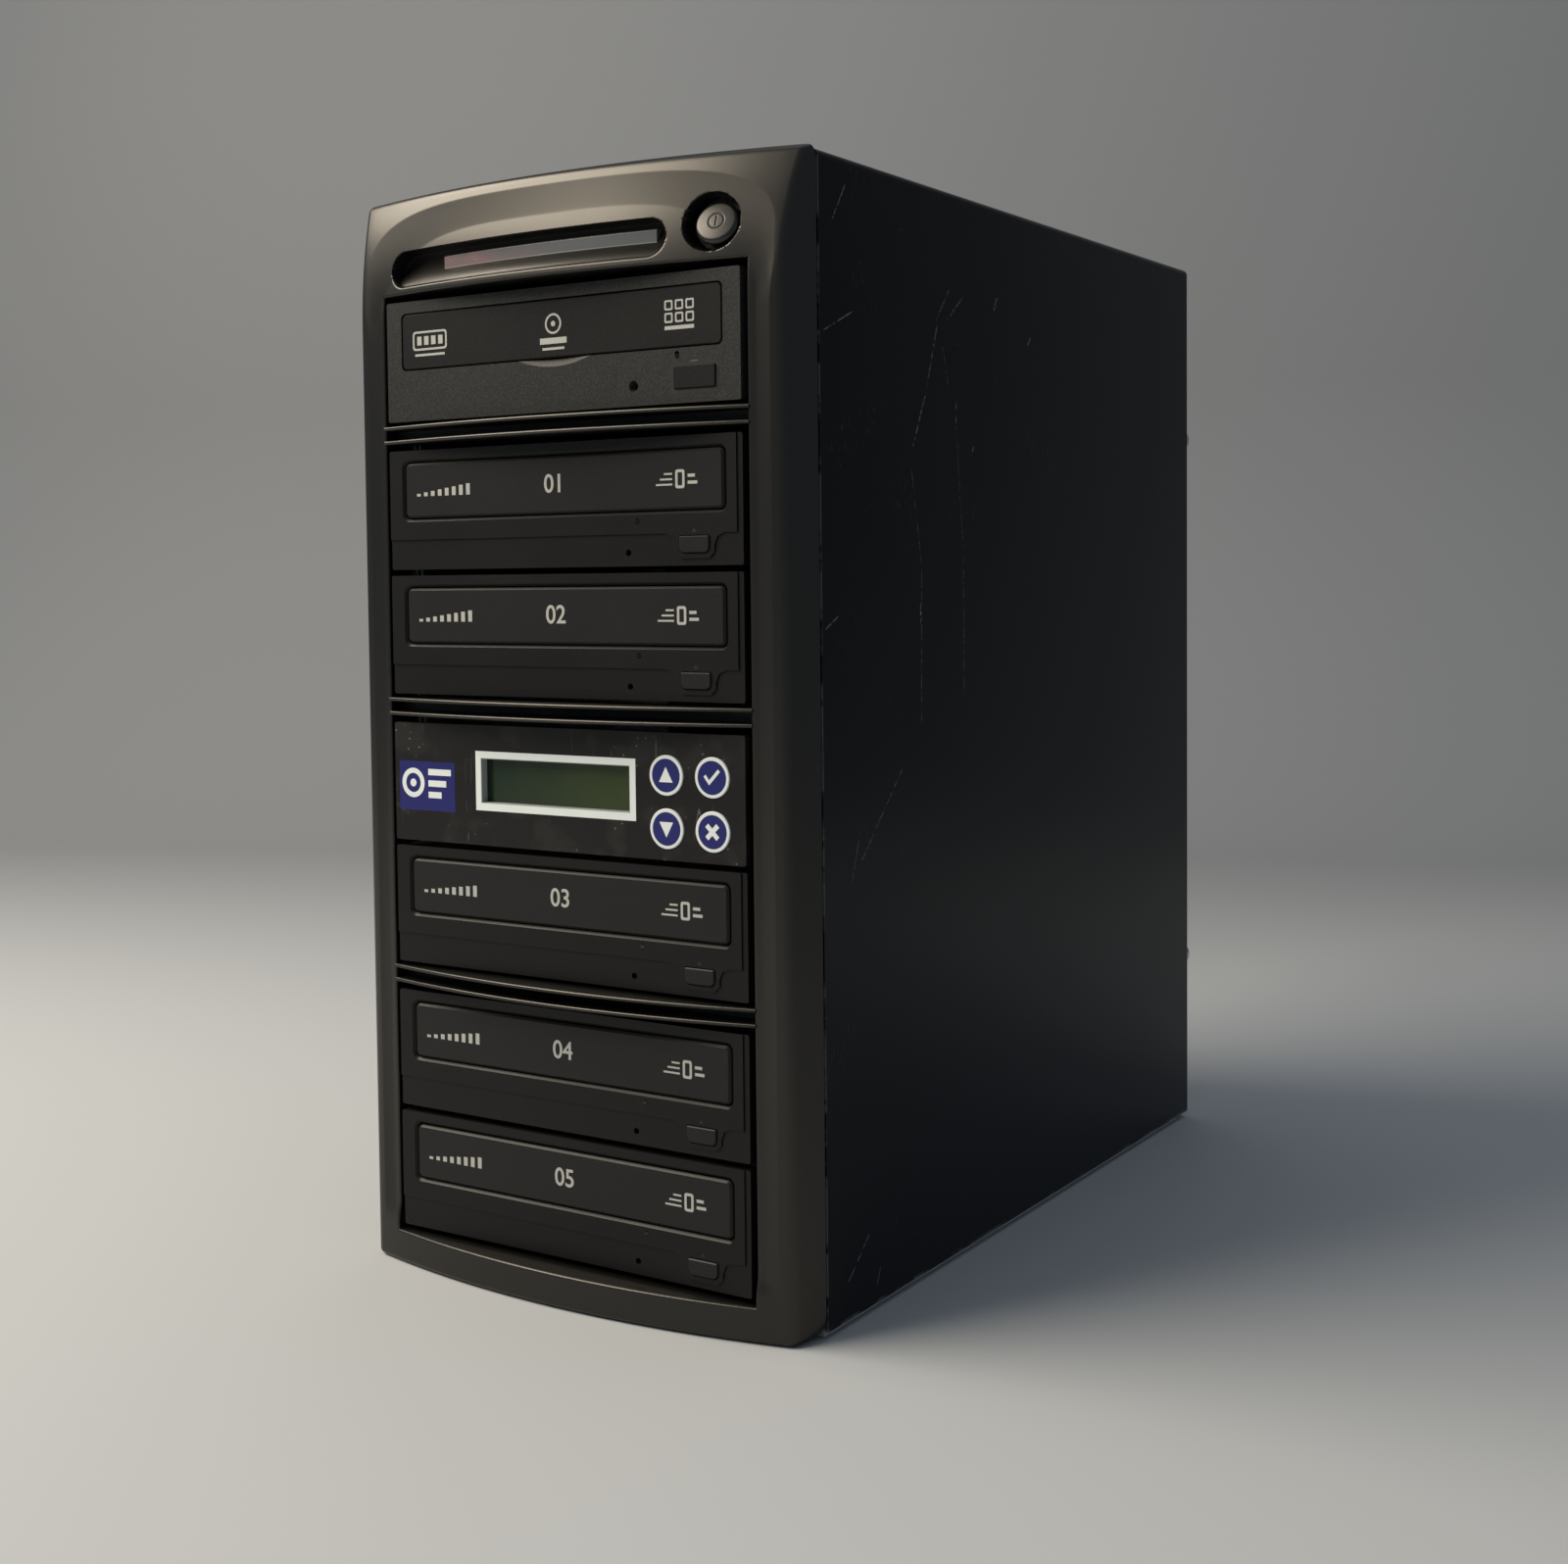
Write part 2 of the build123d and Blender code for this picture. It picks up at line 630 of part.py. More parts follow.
def make_tray(n):
    y0 = face_y + door_thick
    y1 = y0 + tray_travel + tray_grip
    z0 = bay_bottom(n) + tray_lift
    z1 = z0 + tray_height
    w = tray_width / 2
    disc_y = face_y + disc_centre
    body = block(-w, w, y0, y1, z0, z1)
    floor = z1 - disc_recess - small_disc_recess - tray_floor
    rim = tray_rim
    body -= block(-w + rim, w - rim, y0 + rim, y1 - rim, z0 - 1, floor)
    body -= rod_z(disc_radius, 0, disc_y, z1 - disc_recess, z1 + 1)
    body -= rod_z(small_disc_radius, 0, disc_y, z1 - disc_recess - small_disc_recess, z1 + 1)
    body -= rod_z(tray_hole, 0, disc_y, z0 - 1, z1 + 1)
    body -= block(-sled_slot / 2, sled_slot / 2, disc_y, y1 - 4 * rim, z0 - 1, z1 + 1)
    x = w - hook_inset + door_gap
    m = hook_margin - door_gap
    body -= block(-x, x, y0 - 1, y0 + hook_depth + door_gap, z0 + m, z1 - m)
    return body


def make_eject(n, eject):
    back = drive_front + eject_travel + eject_behind
    cap = eject_block(bay_bottom(n), eject, 0, face_y - eject_proud, back)
    return chamfer(cap.faces().sort_by(Axis.Y)[0].edges(), eject_bevel)


def make_deck(n):
    z0 = bay_bottom(n) + (face_height - drive_height) / 2 + drive_sheet
    top = bay_bottom(n) + deck_lift
    disc_y = face_y + disc_centre
    w = deck_width / 2
    y0 = disc_y - 0.42 * deck_length
    y1 = y0 + deck_length
    sled_half = sled_slot / 2 + sled_lap
    sled_mid = disc_y + sled_back
    under = top - deck_height
    body = block(-w, w, y0, y1, under, top)
    body -= block(-sled_slot / 2, sled_slot / 2, disc_y + deck_margin, y1 - deck_margin, under - 1, top + 1)
    body += rod_z(spindle_radius, 0, disc_y, under, top + spindle_rise)
    body += rod_z(spindle_radius / 2, 0, disc_y, top, top + spindle_rise + spindle_nose)
    y2, y3 = sled_mid - sled_long / 2, sled_mid + sled_long / 2
    body += block(-sled_half, sled_half, y2, y3, under, top + sled_rise)
    body += rod_z(lens_radius, 0, sled_mid, top, top + sled_rise + lens_rise)
    for side in (-1, 1):
        x0, x1 = sorted((side * w, side * (w - runner_wide)))
        body += block(x0, x1, y0, y1, under, bay_bottom(n) + tray_lift - runner_gap)
        for y in (y0 + post_inset, y1 - post_inset):
            body += rod_z(post_radius, side * (w - post_inset), y, z0, top - deck_height / 2)
    return body


# ---------------------------------------------------------------- control panel
def panel_z():
    return bay_bottom(display_bay)


def key_spots():
    z = panel_z()
    return {"key_up": (key_left, z + key_high), "key_enter": (key_right, z + key_high),
            "key_down": (key_left, z + key_low), "key_escape": (key_right, z + key_low)}


def make_display_plate():
    z0 = panel_z()
    w = face_width / 2
    body = soft_block(-w, w, face_y, face_y + plate_thick, z0, z0 + face_height, 0.8)
    body -= block(window_left, window_right, face_y - 1, seam_y, z0 + window_low, z0 + window_high)
    for x, z in key_spots().values():
        body -= rod_y(key_radius + fit_gap, x, z, face_y - 1, face_y + plate_thick + 1)
    ledge_top = z0 + ledge + arm_thick
    y0 = face_y + plate_thick
    y1 = y0 + arm_length
    for side in (-1, 1):
        outer, inner = side * arm_half, side * (arm_half - arm_thick)
        shelf = side * (arm_half - arm_thick - ledge)
        x0, x1 = sorted((outer, inner))
        body += block(x0, x1, y0, y1, z0 + ledge, z0 + arm_top)
        for y, z in side_screw_spots(display_bay):
            body -= rod_x(screw_hole, y, z, x0 - 1, x1 + 1)
        x0, x1 = sorted((inner, shelf))
        body += block(x0, x1, y0, y1, z0 + ledge, ledge_top)
    return body


def make_display_window():
    y0 = face_y + plate_thick
    z0, z1 = panel_z() + window_low - lens_lap, panel_z() + window_high + lens_lap
    return block(window_left - lens_lap, window_right + lens_lap, y0, y0 + lens_thick, z0, z1)


def make_lcd_module():
    z0 = panel_z()
    back = face_y + panel_board_depth
    glass_front = face_y + plate_thick + lens_thick
    half_board = arm_half - 2 * arm_thick
    lap = lens_lap / 2
    low, high = z0 + module_low_edge, z0 + face_height - module_high_edge
    body = block(-half_board, half_board, back, back + board, low, high)
    low, high = z0 + window_low - lap, z0 + window_high + lap
    body += block(window_left - lap, window_right + lap, glass_front, back, low, high)
    k = key_switch
    for x, z in key_spots().values():
        body += block(x - k, x + k, back - key_switch_tall, back, z - k, z + k)
    return body


def make_key(x, z):
    back = face_y + panel_board_depth - key_switch_tall - key_travel - key_rest_gap
    cap = rod_y(key_radius, x, z, face_y - key_proud, back)
    return chamfer(cap.edges().filter_by(GeomType.CIRCLE).sort_by(Axis.Y)[:1], 0.2)


def make_controller_board():
    z0 = panel_z() + ledge + arm_thick
    half_board = arm_half - arm_thick - fit_gap
    y0 = face_y + panel_board_depth + board
    y1 = face_y + plate_thick + arm_length
    body = block(-half_board, half_board, y0, y1, z0, z0 + board)
    top = z0 + board
    w, chip_y = chip_wide / 2, y0 + chip_back
    body += block(-w, w, chip_y, chip_y + chip_wide, top, top + chip_tall)
    w, memory_y = memory_wide / 2, y0 + memory_back
    for x in (-memory_x, memory_x):
        body += block(x - w, x + w, memory_y, memory_y + memory_wide, top, top + chip_tall)
    for x in board_ports():
        body += block(x - port_half, x + port_half, y1 - port_deep, y1, top, top + port_tall)
    return body


def board_ports():
    return [port_first + port_pitch * k for k in range(len(drive_bays))]


# ---------------------------------------------------------------- steel case
def make_hood():
    low, top = hood_lift, height(hood_height)
    body = block(-half, half, seam_y, rear_y, low, top)
    body = fillet(body.edges().filter_by(Axis.Y).sort_by(Axis.Z)[-2:], hood_bend)
    inner = block(-half + sheet, half - sheet, seam_y - 1, panel_rear, low - 1, top - sheet)
    inner = fillet(inner.edges().filter_by(Axis.Y).sort_by(Axis.Z)[-2:], hood_bend - sheet)
    body -= inner
    w = half - rear_flange
    body -= block(-w, w, panel_rear - 1, rear_y + 1, low - 1, top - rear_flange_top)
    for x, z in thumb_spots():
        body -= rod_y(screw_hole, x, z, panel_rear - 1, rear_y + 1)
    return body


def thumb_spots():
    return [(side * (half - thumb_inset), height(h)) for side in (-1, 1) for h in (thumb_low, thumb_high)]


def make_thumbscrews():
    screws = []
    for x, z in thumb_spots():
        knob = rod_y(thumb_radius, x, z, rear_y, rear_y + thumb_tall)
        knob = chamfer(knob.edges().filter_by(GeomType.CIRCLE).sort_by(Axis.Y)[-1:], thumb_bevel)
        end, w = rear_y + thumb_tall, thumb_slot / 2
        knob -= block(x - thumb_radius, x + thumb_radius, end - thumb_slot, end + 1, z - w, z + w)
        screws.append(knob + rod_y(screw_radius, x, z, rear_y - thumb_long, rear_y))
    return screws


def make_base():
    y1 = rear_y - base_setback
    body = block(-chassis_half, chassis_half, frame_back, y1, base_under, base_top)
    for side in (-1, 1):
        x0, x1 = sorted((side * chassis_half, side * (chassis_half - chassis_sheet)))
        body += block(x0, x1, frame_back, y1, base_under, base_top + base_wall)
    return body


def pad_spots():
    x = half - pad_inset_x
    return [(sx * x, y) for sx in (-1, 1) for y in (seam_y + pad_inset_y, rear_y - pad_inset_y)]


def make_pads():
    return [rod_z(pad_radius, x, y, 0, pad_height) for x, y in pad_spots()]


def make_front_frame():
    low, high = base_under, top_inside
    w, back = bay_half - frame_lap, frame_back + flange_depth
    body = block(-chassis_half, chassis_half, seam_y, frame_back, low, high)
    body -= block(-w, w, seam_y - 1, frame_back + 1, height(bottom_bar_top), height(head_bottom))
    for side in (-1, 1):
        x0, x1 = sorted((side * chassis_half, side * (chassis_half - chassis_sheet)))
        body += block(x0, x1, frame_back, back, base_top + base_wall + wall_gap, high)
    body += block(-chassis_half, chassis_half, frame_back, back, high - chassis_sheet, high)
    return cut_top_corners(body)


def cut_top_corners(body):
    """Take off the corners that would reach into the hood's bends."""
    for side in (-1, 1):
        corner = Pos(side * chassis_half, 0, top_inside) * Rot(0, 45, 0)
        body -= corner * Box(frame_corner * sqrt(2), 2 * total_depth, frame_corner * sqrt(2))
    return body


def fan_screw_spots(x, z):
    p = fan_hole_pitch / 2
    return [(x + sx * p, z + sz * p) for sx in (-1, 1) for sz in (-1, 1)]


def fan_centres():
    """X, Z, the rear face of the fan's frame and the sheet face on which its guard sits."""
    return {"psu": (psu_fan_x, psu_mid, panel_front - psu_sheet, panel_front),
            "case": (0.0, height(case_fan_height), panel_front, panel_rear)}


def psu_screw_spots():
    x, z = psu_width / 2 - psu_screw_inset, psu_height / 2 - psu_screw_inset
    return [(-x, psu_mid - z), (x, psu_mid - z), (-x, psu_mid + z), (x, psu_mid + z)]


def make_rear_panel():
    low, high = base_top + base_wall + wall_gap, top_inside
    body = block(-chassis_half, chassis_half, panel_front, panel_rear, base_top, high)
    w, m, k = psu_width / 2 - psu_margin, psu_margin, psu_ear
    cut = block(-w, w, panel_front - 1, panel_rear + 1, psu_bottom + m, psu_top - m)
    for x, z in psu_screw_spots():
        cut -= block(x - k, x + k, panel_front - 2, panel_rear + 2, z - k, z + k)
    body -= cut
    x, z, _, _ = fan_centres()["case"]
    body -= rod_y(fan_bore, x, z, panel_front - 1, panel_rear + 1)
    for sx, sz in fan_screw_spots(x, z) + psu_screw_spots() + thumb_spots():
        body -= rod_y(screw_hole, sx, sz, panel_front - 1, panel_rear + 1)
    vent_mid = (psu_bottom + height(case_fan_height) + fan_size / 2) / 2
    w = vent_tall / 2
    for row in range(vent_rows):
        z = vent_mid + (row - (vent_rows - 1) / 2) * vent_pitch
        body -= soft_block(-vent_half, vent_half, panel_front - 1, panel_rear + 1, z - w, z + w, w - 0.1)
    for side in (-1, 1):
        x0, x1 = sorted((side * chassis_half, side * (chassis_half - chassis_sheet)))
        body += block(x0, x1, panel_front - flange_depth, panel_front, low, high)
    w = chassis_half
    body += block(-w, w, panel_front - flange_depth, panel_front, high - chassis_sheet, high)
    foot = chassis_half - chassis_sheet - fit_gap
    foot_front = panel_front - base_setback - flange_depth
    body += block(-foot, foot, foot_front, panel_front, base_top, base_top + chassis_sheet)
    return cut_top_corners(body)


def make_rails():
    plates = []
    for side in (-1, 1):
        x0, x1 = sorted((side * rail_inner, side * (rail_inner + chassis_sheet)))
        plate = block(x0, x1, frame_back, drive_rear, base_top, height(head_bottom) + rail_top)
        for n in range(bays):
            for y, z in side_screw_spots(n):
                plate -= rod_x(screw_hole, y, z, x0 - 1, x1 + 1)
        inner, outer = rail_inner + chassis_sheet, chassis_half - chassis_sheet - fit_gap
        x0, x1 = sorted((side * inner, side * outer))
        plate += block(x0, x1, frame_back, drive_rear, base_top, base_top + chassis_sheet)
        plates.append(plate)
    return plates


# ---------------------------------------------------------------- power supply and fans
def make_psu_cover():
    """Top and two sides, folded from one sheet."""
    w, s = psu_width / 2, psu_sheet
    cover = block(-w, w, psu_front, panel_front, psu_bottom, psu_top)
    return cover - block(-w + s, w - s, psu_front - 1, panel_front + 1, psu_bottom - 1, psu_top - s)


def make_psu_tray():
    """Bottom, front and rear, folded from one sheet, between the cover's sides."""
    w, s = psu_width / 2 - psu_sheet, psu_sheet
    high = psu_top - s
    body = block(-w, w, psu_front, panel_front, psu_bottom, high)
    body -= block(-w - 1, w + 1, psu_front + s, panel_front - s, psu_bottom + s, high + 1)
    x, z, _, _ = fan_centres()["psu"]
    y0, y1 = panel_front - 2 * psu_sheet, panel_front + 1
    body -= rod_y(fan_bore, x, z, y0, y1)
    for sx, sz in fan_screw_spots(x, z):
        body -= rod_y(screw_hole, sx, sz, y0, y1)
    for sx, sz in psu_screw_spots():
        body -= rod_y(screw_hole, sx, sz, y0, y1)
    body -= block(inlet_x - inlet_width / 2, inlet_x + inlet_width / 2, y0, y1, module_low(), module_high())
    vent, low, high = psu_vent_wide / 2, psu_mid - psu_vent_tall / 2, psu_mid + psu_vent_tall / 2
    for k in range(psu_vents):
        x = (k - (psu_vents - 1) / 2) * psu_vent_pitch
        body -= block(x - vent, x + vent, psu_front - 1, psu_front + 2 * psu_sheet, low, high)
    return body


def inlet_z():
    return psu_mid - inlet_drop


def rocker_z():
    return psu_mid + rocker_rise


def make_psu_board():
    """The power supply's board on four posts, with its transformer, heat sinks and capacitors."""
    z0 = psu_bottom + psu_sheet + board_post
    top = z0 + board
    y0 = psu_front + psu_board_front
    y1 = y0 + psu_board_long
    mid = (y0 + y1) / 2
    w = psu_width / 2 - psu_board_side
    body = block(-w, w, y0, y1, z0, top)
    inset = 2 * board_post_radius
    for x in (-w + inset, w - inset):
        for y in (y0 + inset, y1 - inset):
            body += rod_z(board_post_radius, x, y, psu_bottom + psu_sheet, z0)
    t = transformer_wide / 2
    body += block(-t, t, mid - t, mid + t, top, top + transformer_tall)
    for x in (-sink_x, sink_x):
        x0, x1 = x - sink_thick / 2, x + sink_thick / 2
        body += block(x0, x1, y0 + sink_margin, y1 - sink_margin, top, top + sink_tall)
    for y in (mid - capacitor_pitch / 2, mid + capacitor_pitch / 2):
        body += rod_z(capacitor_radius, capacitor_x, y, top, top + capacitor_tall)
    return body


def module_low():
    return inlet_z() - inlet_tall / 2


def module_high():
    return rocker_z() + rocker_width / 2 + 2 * inlet_wall


def make_inlet():
    """Mains inlet and switch seat in one moulding: flange, hollow with three blades, rocker's pocket."""
    z = inlet_z()
    w, t, c = inlet_width / 2, inlet_tall / 2, fit_gap
    face = panel_front + inlet_lip
    left, right, low, high = inlet_x - w, inlet_x + w, module_low(), module_high()
    s, p = inlet_wall, inlet_flange
    body = block(left + c, right - c, panel_front - inlet_depth, panel_front, low + c, high - c)
    body += soft_block(left - p, right + p, panel_front, face, low - p, high + p, inlet_round)
    body -= block(left + s, right - s, face - socket_depth, face + 1, z - t + s, z + t - s)
    a, b = blade_wide / 2, blade_tall / 2
    root, tip = face - socket_depth - 1, face - blade_inset
    for dx, dz in ((-blade_pitch, -blade_drop), (blade_pitch, -blade_drop), (0, earth_rise)):
        x, mid = inlet_x + dx, z + dz
        body += block(x - a, x + a, root, tip, mid - b, mid + b)
    long, wide = rocker_tall / 2, rocker_width / 2
    pocket = face - rocker_depth - rocker_room
    body -= block(inlet_x - long, inlet_x + long, pocket, face + 1, rocker_z() - wide, rocker_z() + wide)
    hole, reach = rocker_pin + axle_clearance, wide + inlet_wall
    body -= rod_z(hole, inlet_x, rocker_pivot_y(), rocker_z() - reach, rocker_z() + reach)
    return body


def make_rocker():
    """The rocker: a shallow saddle on two pins, tipped to its off side."""
    long, wide = rocker_tall / 2 - 2 * rocker_gap, rocker_width / 2 - rocker_gap
    saddle = block(-long, long, -rocker_depth / 2, rocker_rim, -wide, wide)
    saddle -= Pos(0, rocker_hollow + rocker_dip, 0) * Cylinder(rocker_hollow, 3 * wide)
    saddle += Cylinder(rocker_pin, rocker_width + 2 * inlet_wall - rocker_gap)
    return Pos(inlet_x, rocker_pivot_y(), rocker_z()) * Rot(0, 0, rocker_tip) * saddle


def rocker_pivot_y():
    return panel_front - rocker_sink


def make_fan_frame(name):
    x, z, back, _ = fan_centres()[name]
    f = fan_size / 2
    body = soft_block(x - f, x + f, back - fan_depth, back, z - f, z + f, 4.0)
    body -= rod_y(fan_bore, x, z, back - fan_depth - 1, back + 1)
    for sx, sz in fan_screw_spots(x, z):
        body -= rod_y(screw_hole, sx, sz, back - fan_depth - 1, back + 1)
    front = back - fan_depth
    spider = rod_y(fan_hub_radius, x, z, front, front + fan_spider)
    for angle in (45, 135):
        arm = Rot(0, angle, 0) * Box(2 * fan_bore + 1, fan_spider, fan_spider)
        spider += Pos(x, front + fan_spider / 2, z) * arm
    spider += rod_y(fan_axle + fan_bearing, x, z, front, front + bearing_long)
    spider -= rod_y(fan_axle + axle_clearance, x, z, front + fan_spider - 1, front + bearing_long + 1)
    return body + spider


def make_fan_rotor(name):
    x, z, back, _ = fan_centres()[name]
    front = back - fan_depth
    y0, y1 = front + fan_spider + 1, back - rotor_inset
    hub = rod_y(fan_hub_radius, x, z, y0, y1)
    hub -= rod_y(fan_hub_radius - blade_thick, x, z, y0 - 1, y1 - blade_thick)
    hub += rod_y(fan_axle, x, z, front + fan_spider, y1)
    reach = fan_rotor_radius - fan_hub_radius + 1.0
    blade = Rot(blade_twist, 0, 0) * Box(reach, blade_chord, blade_thick)
    for k in range(fan_blades):
        at_hub = Pos(x, (y0 + y1) / 2, z) * Rot(0, 360 / fan_blades * k, 0)
        hub += at_hub * Pos(fan_hub_radius - 1.0 + reach / 2, 0, 0) * blade
    return hub


def make_guard(name):
    """A finger guard: rings on two crossed bars that end in the screw eyes."""
    x, z, _, seat = fan_centres()[name]
    back = seat + guard_wire
    ring_pitch = (fan_bore - guard_hub) / guard_rings
    reach = sqrt(2) * fan_hole_pitch - 2 * screw_hole
    body = rod_y(guard_hub, x, z, seat, back)
    for angle in (45, 135):
        body += Pos(x, (seat + back) / 2, z) * Rot(0, angle, 0) * Box(reach, guard_wire, guard_wire)
    for k in range(guard_rings):
        radius = guard_hub + ring_pitch * (k + 1)
        y0, y1 = back - guard_wire / 3, back + 2 * guard_wire / 3
        ring = rod_y(radius + guard_wire / 2, x, z, y0, y1)
        body += ring - rod_y(radius - guard_wire / 2, x, z, y0 - 1, y1 + 1)
    for sx, sz in fan_screw_spots(x, z):
        body += rod_y(screw_head, sx, sz, seat, back) - rod_y(screw_hole, sx, sz, seat - 1, back + 1)
    return body


# ---------------------------------------------------------------- fasteners and cables
def screw_along_x(side, y, z, face):
    x0, x1 = sorted((side * face, side * (face + screw_head_tall)))
    head = rod_x(screw_head, y, z, x0, x1)
    x0, x1 = sorted((side * (face - screw_long), side * face))
    return head + rod_x(screw_radius, y, z, x0, x1)


def screw_along_y(x, z, face, long):
    head = rod_y(screw_head, x, z, face, face + screw_head_tall)
    return head + rod_y(screw_radius, x, z, face - long, face)


def make_screws():
    screws = []
    for n in range(7):
        for y, z in side_screw_spots(n):
            screws += [screw_along_x(side, y, z, rail_inner + chassis_sheet) for side in (-1, 1)]
    screws += [screw_along_y(x, z, panel_rear, screw_long) for x, z in psu_screw_spots()]
    for name in fan_centres():
        x, z, _, seat = fan_centres()[name]
        guard_face = seat + guard_wire
        screws += [screw_along_y(sx, sz, guard_face, 2 * screw_long) for sx, sz in fan_screw_spots(x, z)]
    return screws


def plug_z(n):
    return bay_bottom(n) + plug_lift


def make_data_cables():
    port_z = panel_z() + ledge + arm_thick + board + port_tall / 2
    port_y = face_y + plate_thick + arm_length
    cables = []
    for k, n in enumerate(drive_bays.values()):
        x0 = board_ports()[k]
        steps = abs(n - display_bay)
        z, plug_end = plug_z(n), drive_rear + plug_depth / 3
        turn_y = plug_end + cable_clear + cable_pitch * steps
        route = [(x0, port_y, port_z), (x0, turn_y, port_z), (cable_x, turn_y, z), (cable_x, drive_rear, z)]
        line = FilletPolyline(route, radius=cable_bend)
        section = Plane(origin=route[0], z_dir=(0, 1, 0)) * Circle(cable_radius)
        cable = sweep(section, path=line)
        w, t = data_plug, data_thick
        cable += block(cable_x - w, cable_x + w, drive_rear, plug_end, z - t, z + t)
        cables.append(cable)
    return cables


def make_power_cables():
    """One harness: a trunk behind the drives with a plug on each, fed from the power supply."""
    y = drive_rear + plug_depth + trunk_radius - 1
    zs = [plug_z(n) for n in drive_bays.values()]
    w, t = power_plug, power_thick
    body = rod_z(trunk_radius, trunk_x, y, min(zs) - t, max(zs) + t)
    for z in zs:
        body += block(trunk_x - w, trunk_x + w, drive_rear, drive_rear + plug_depth, z - t, z + t)
    body += rod_y(trunk_radius, trunk_x, max(zs) - trunk_drop, y, psu_front)
    return body


# ---------------------------------------------------------------- write every piece
os.makedirs("parts", exist_ok=True)

# left, right, low and high edge and lower corner radius of the eject button, then the middles of the lamp
# and of the emergency hole, and its countersink's radius; heights are above the faceplate's lower edge
reader_eject = (48.5, 64.7, 4.5, 11.8, 0.7, (49.8, 15.7), (32.6, 6.4), 2.3)
writer_eject = (49.9, 61.5, 4.1, 9.4, 1.9, (33.3, 14.5), (29.3, 4.4), 1.5)

save("front_bezel", make_bezel())
save("light_bar", make_light_bar())
save("power_button", make_power_button())
save("power_switch", make_power_switch())
save("hood", make_hood())
save("thumbscrews", make_thumbscrews())
save("chassis_base", make_base())
save("rubber_pads", make_pads())
save("front_frame", make_front_frame())
save("rear_panel", make_rear_panel())
save("drive_rails", make_rails())
for name, n in drive_bays.items():
    writer = name != "reader"
    eject = writer_eject if writer else reader_eject
    save(f"{name}_case", make_drive_case(n))
    save(f"{name}_faceplate", make_faceplate(n, writer, eject))
    save(f"{name}_tray", make_tray(n))
    save(f"{name}_tray_door", make_door(n, writer))
    save(f"{name}_eject_button", make_eject(n, eject))
save("drive_decks", [make_deck(n) for n in drive_bays.values()])
save("display_plate", make_display_plate())
save("display_window", make_display_window())
save("lcd_module", make_lcd_module())
for name, (x, z) in key_spots().items():
    save(name, make_key(x, z))
save("controller_board", make_controller_board())
save("psu_case", [make_psu_tray(), make_psu_cover()])
save("power_inlet", make_inlet())
save("power_rocker", make_rocker())
save("fan_frames", [make_fan_frame(name) for name in fan_centres()])
save("psu_fan_rotor", make_fan_rotor("psu"))
save("case_fan_rotor", make_fan_rotor("case"))
save("fan_guards", [make_guard(name) for name in fan_centres()])
save("screws", make_screws())
save("internal_cables", make_data_cables() + [make_power_cables()])
save("psu_board", make_psu_board())
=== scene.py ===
# %% [markdown]
# # A disc duplicator tower
# The tower's working parts come packed, at their real size and place. This notebook gives them their looks:
# a bowed pewter front, textured black drives, a small green display with blue keys, and a scratched black hood.
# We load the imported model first, because every other cell measures from it.

import math

import bmesh
import bpy
import numpy as np
from mathutils import Matrix, Vector


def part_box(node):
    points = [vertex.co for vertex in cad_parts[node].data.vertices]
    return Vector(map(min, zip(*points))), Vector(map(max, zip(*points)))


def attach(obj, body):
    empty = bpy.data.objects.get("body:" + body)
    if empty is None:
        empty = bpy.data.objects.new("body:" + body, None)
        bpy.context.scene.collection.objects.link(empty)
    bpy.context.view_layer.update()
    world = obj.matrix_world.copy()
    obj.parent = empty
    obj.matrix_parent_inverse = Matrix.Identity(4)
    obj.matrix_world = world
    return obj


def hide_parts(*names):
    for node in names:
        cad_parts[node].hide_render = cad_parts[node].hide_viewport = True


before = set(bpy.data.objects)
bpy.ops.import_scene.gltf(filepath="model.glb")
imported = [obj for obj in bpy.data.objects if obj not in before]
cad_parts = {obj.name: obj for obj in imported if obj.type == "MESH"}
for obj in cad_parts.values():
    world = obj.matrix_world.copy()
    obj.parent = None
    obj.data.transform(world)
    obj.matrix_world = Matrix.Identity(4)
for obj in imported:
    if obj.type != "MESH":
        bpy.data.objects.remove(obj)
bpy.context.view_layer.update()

# %% [markdown]
# ## Planes and heights
# Sizes below are written in millimetres, as a maker would, and turned to metres in one place. Two planes place
# nearly everything: the plane of the drives' faceplates, and the lower edge of the hood. Both are read from the
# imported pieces, so this notebook follows them if they change.

# %% Planes and heights
MM = 0.001


def low(node):
    """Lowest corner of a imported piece, in millimetres."""
    return np.array(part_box(node)[0]) / MM


def high(node):
    """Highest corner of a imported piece, in millimetres."""
    return np.array(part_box(node)[1]) / MM


FACE_Y = low("display_plate")[1]
HOOD_Z = low("hood")[2]
SEAM_Y = low("hood")[1]
REAR_Y = high("hood")[1]
HALF = high("hood")[0]
print("faceplate plane", round(FACE_Y, 2), "hood from", round(HOOD_Z, 2), "to", round(high("hood")[2], 2))


def at(x, y, h):
    """Metres, from X, the distance behind the faceplate plane, and the height above the hood's lower edge."""
    return Vector((x * MM, (FACE_Y + y) * MM, (HOOD_Z + h) * MM))


# %% [markdown]
# ## Camera
# The photograph was taken from the right of the front, a little above the middle of the tower, with a normal
# lens. A camera has a place, a direction and a small shift of its film, which keeps the uprights upright.

# %% Camera
CAMERA_PLACE = (421.8, -528.9, 241.0)
CAMERA_AZIMUTH = math.radians(32.94)
CAMERA_PITCH = math.radians(-2.76)
CAMERA_ROLL = math.radians(-0.62)

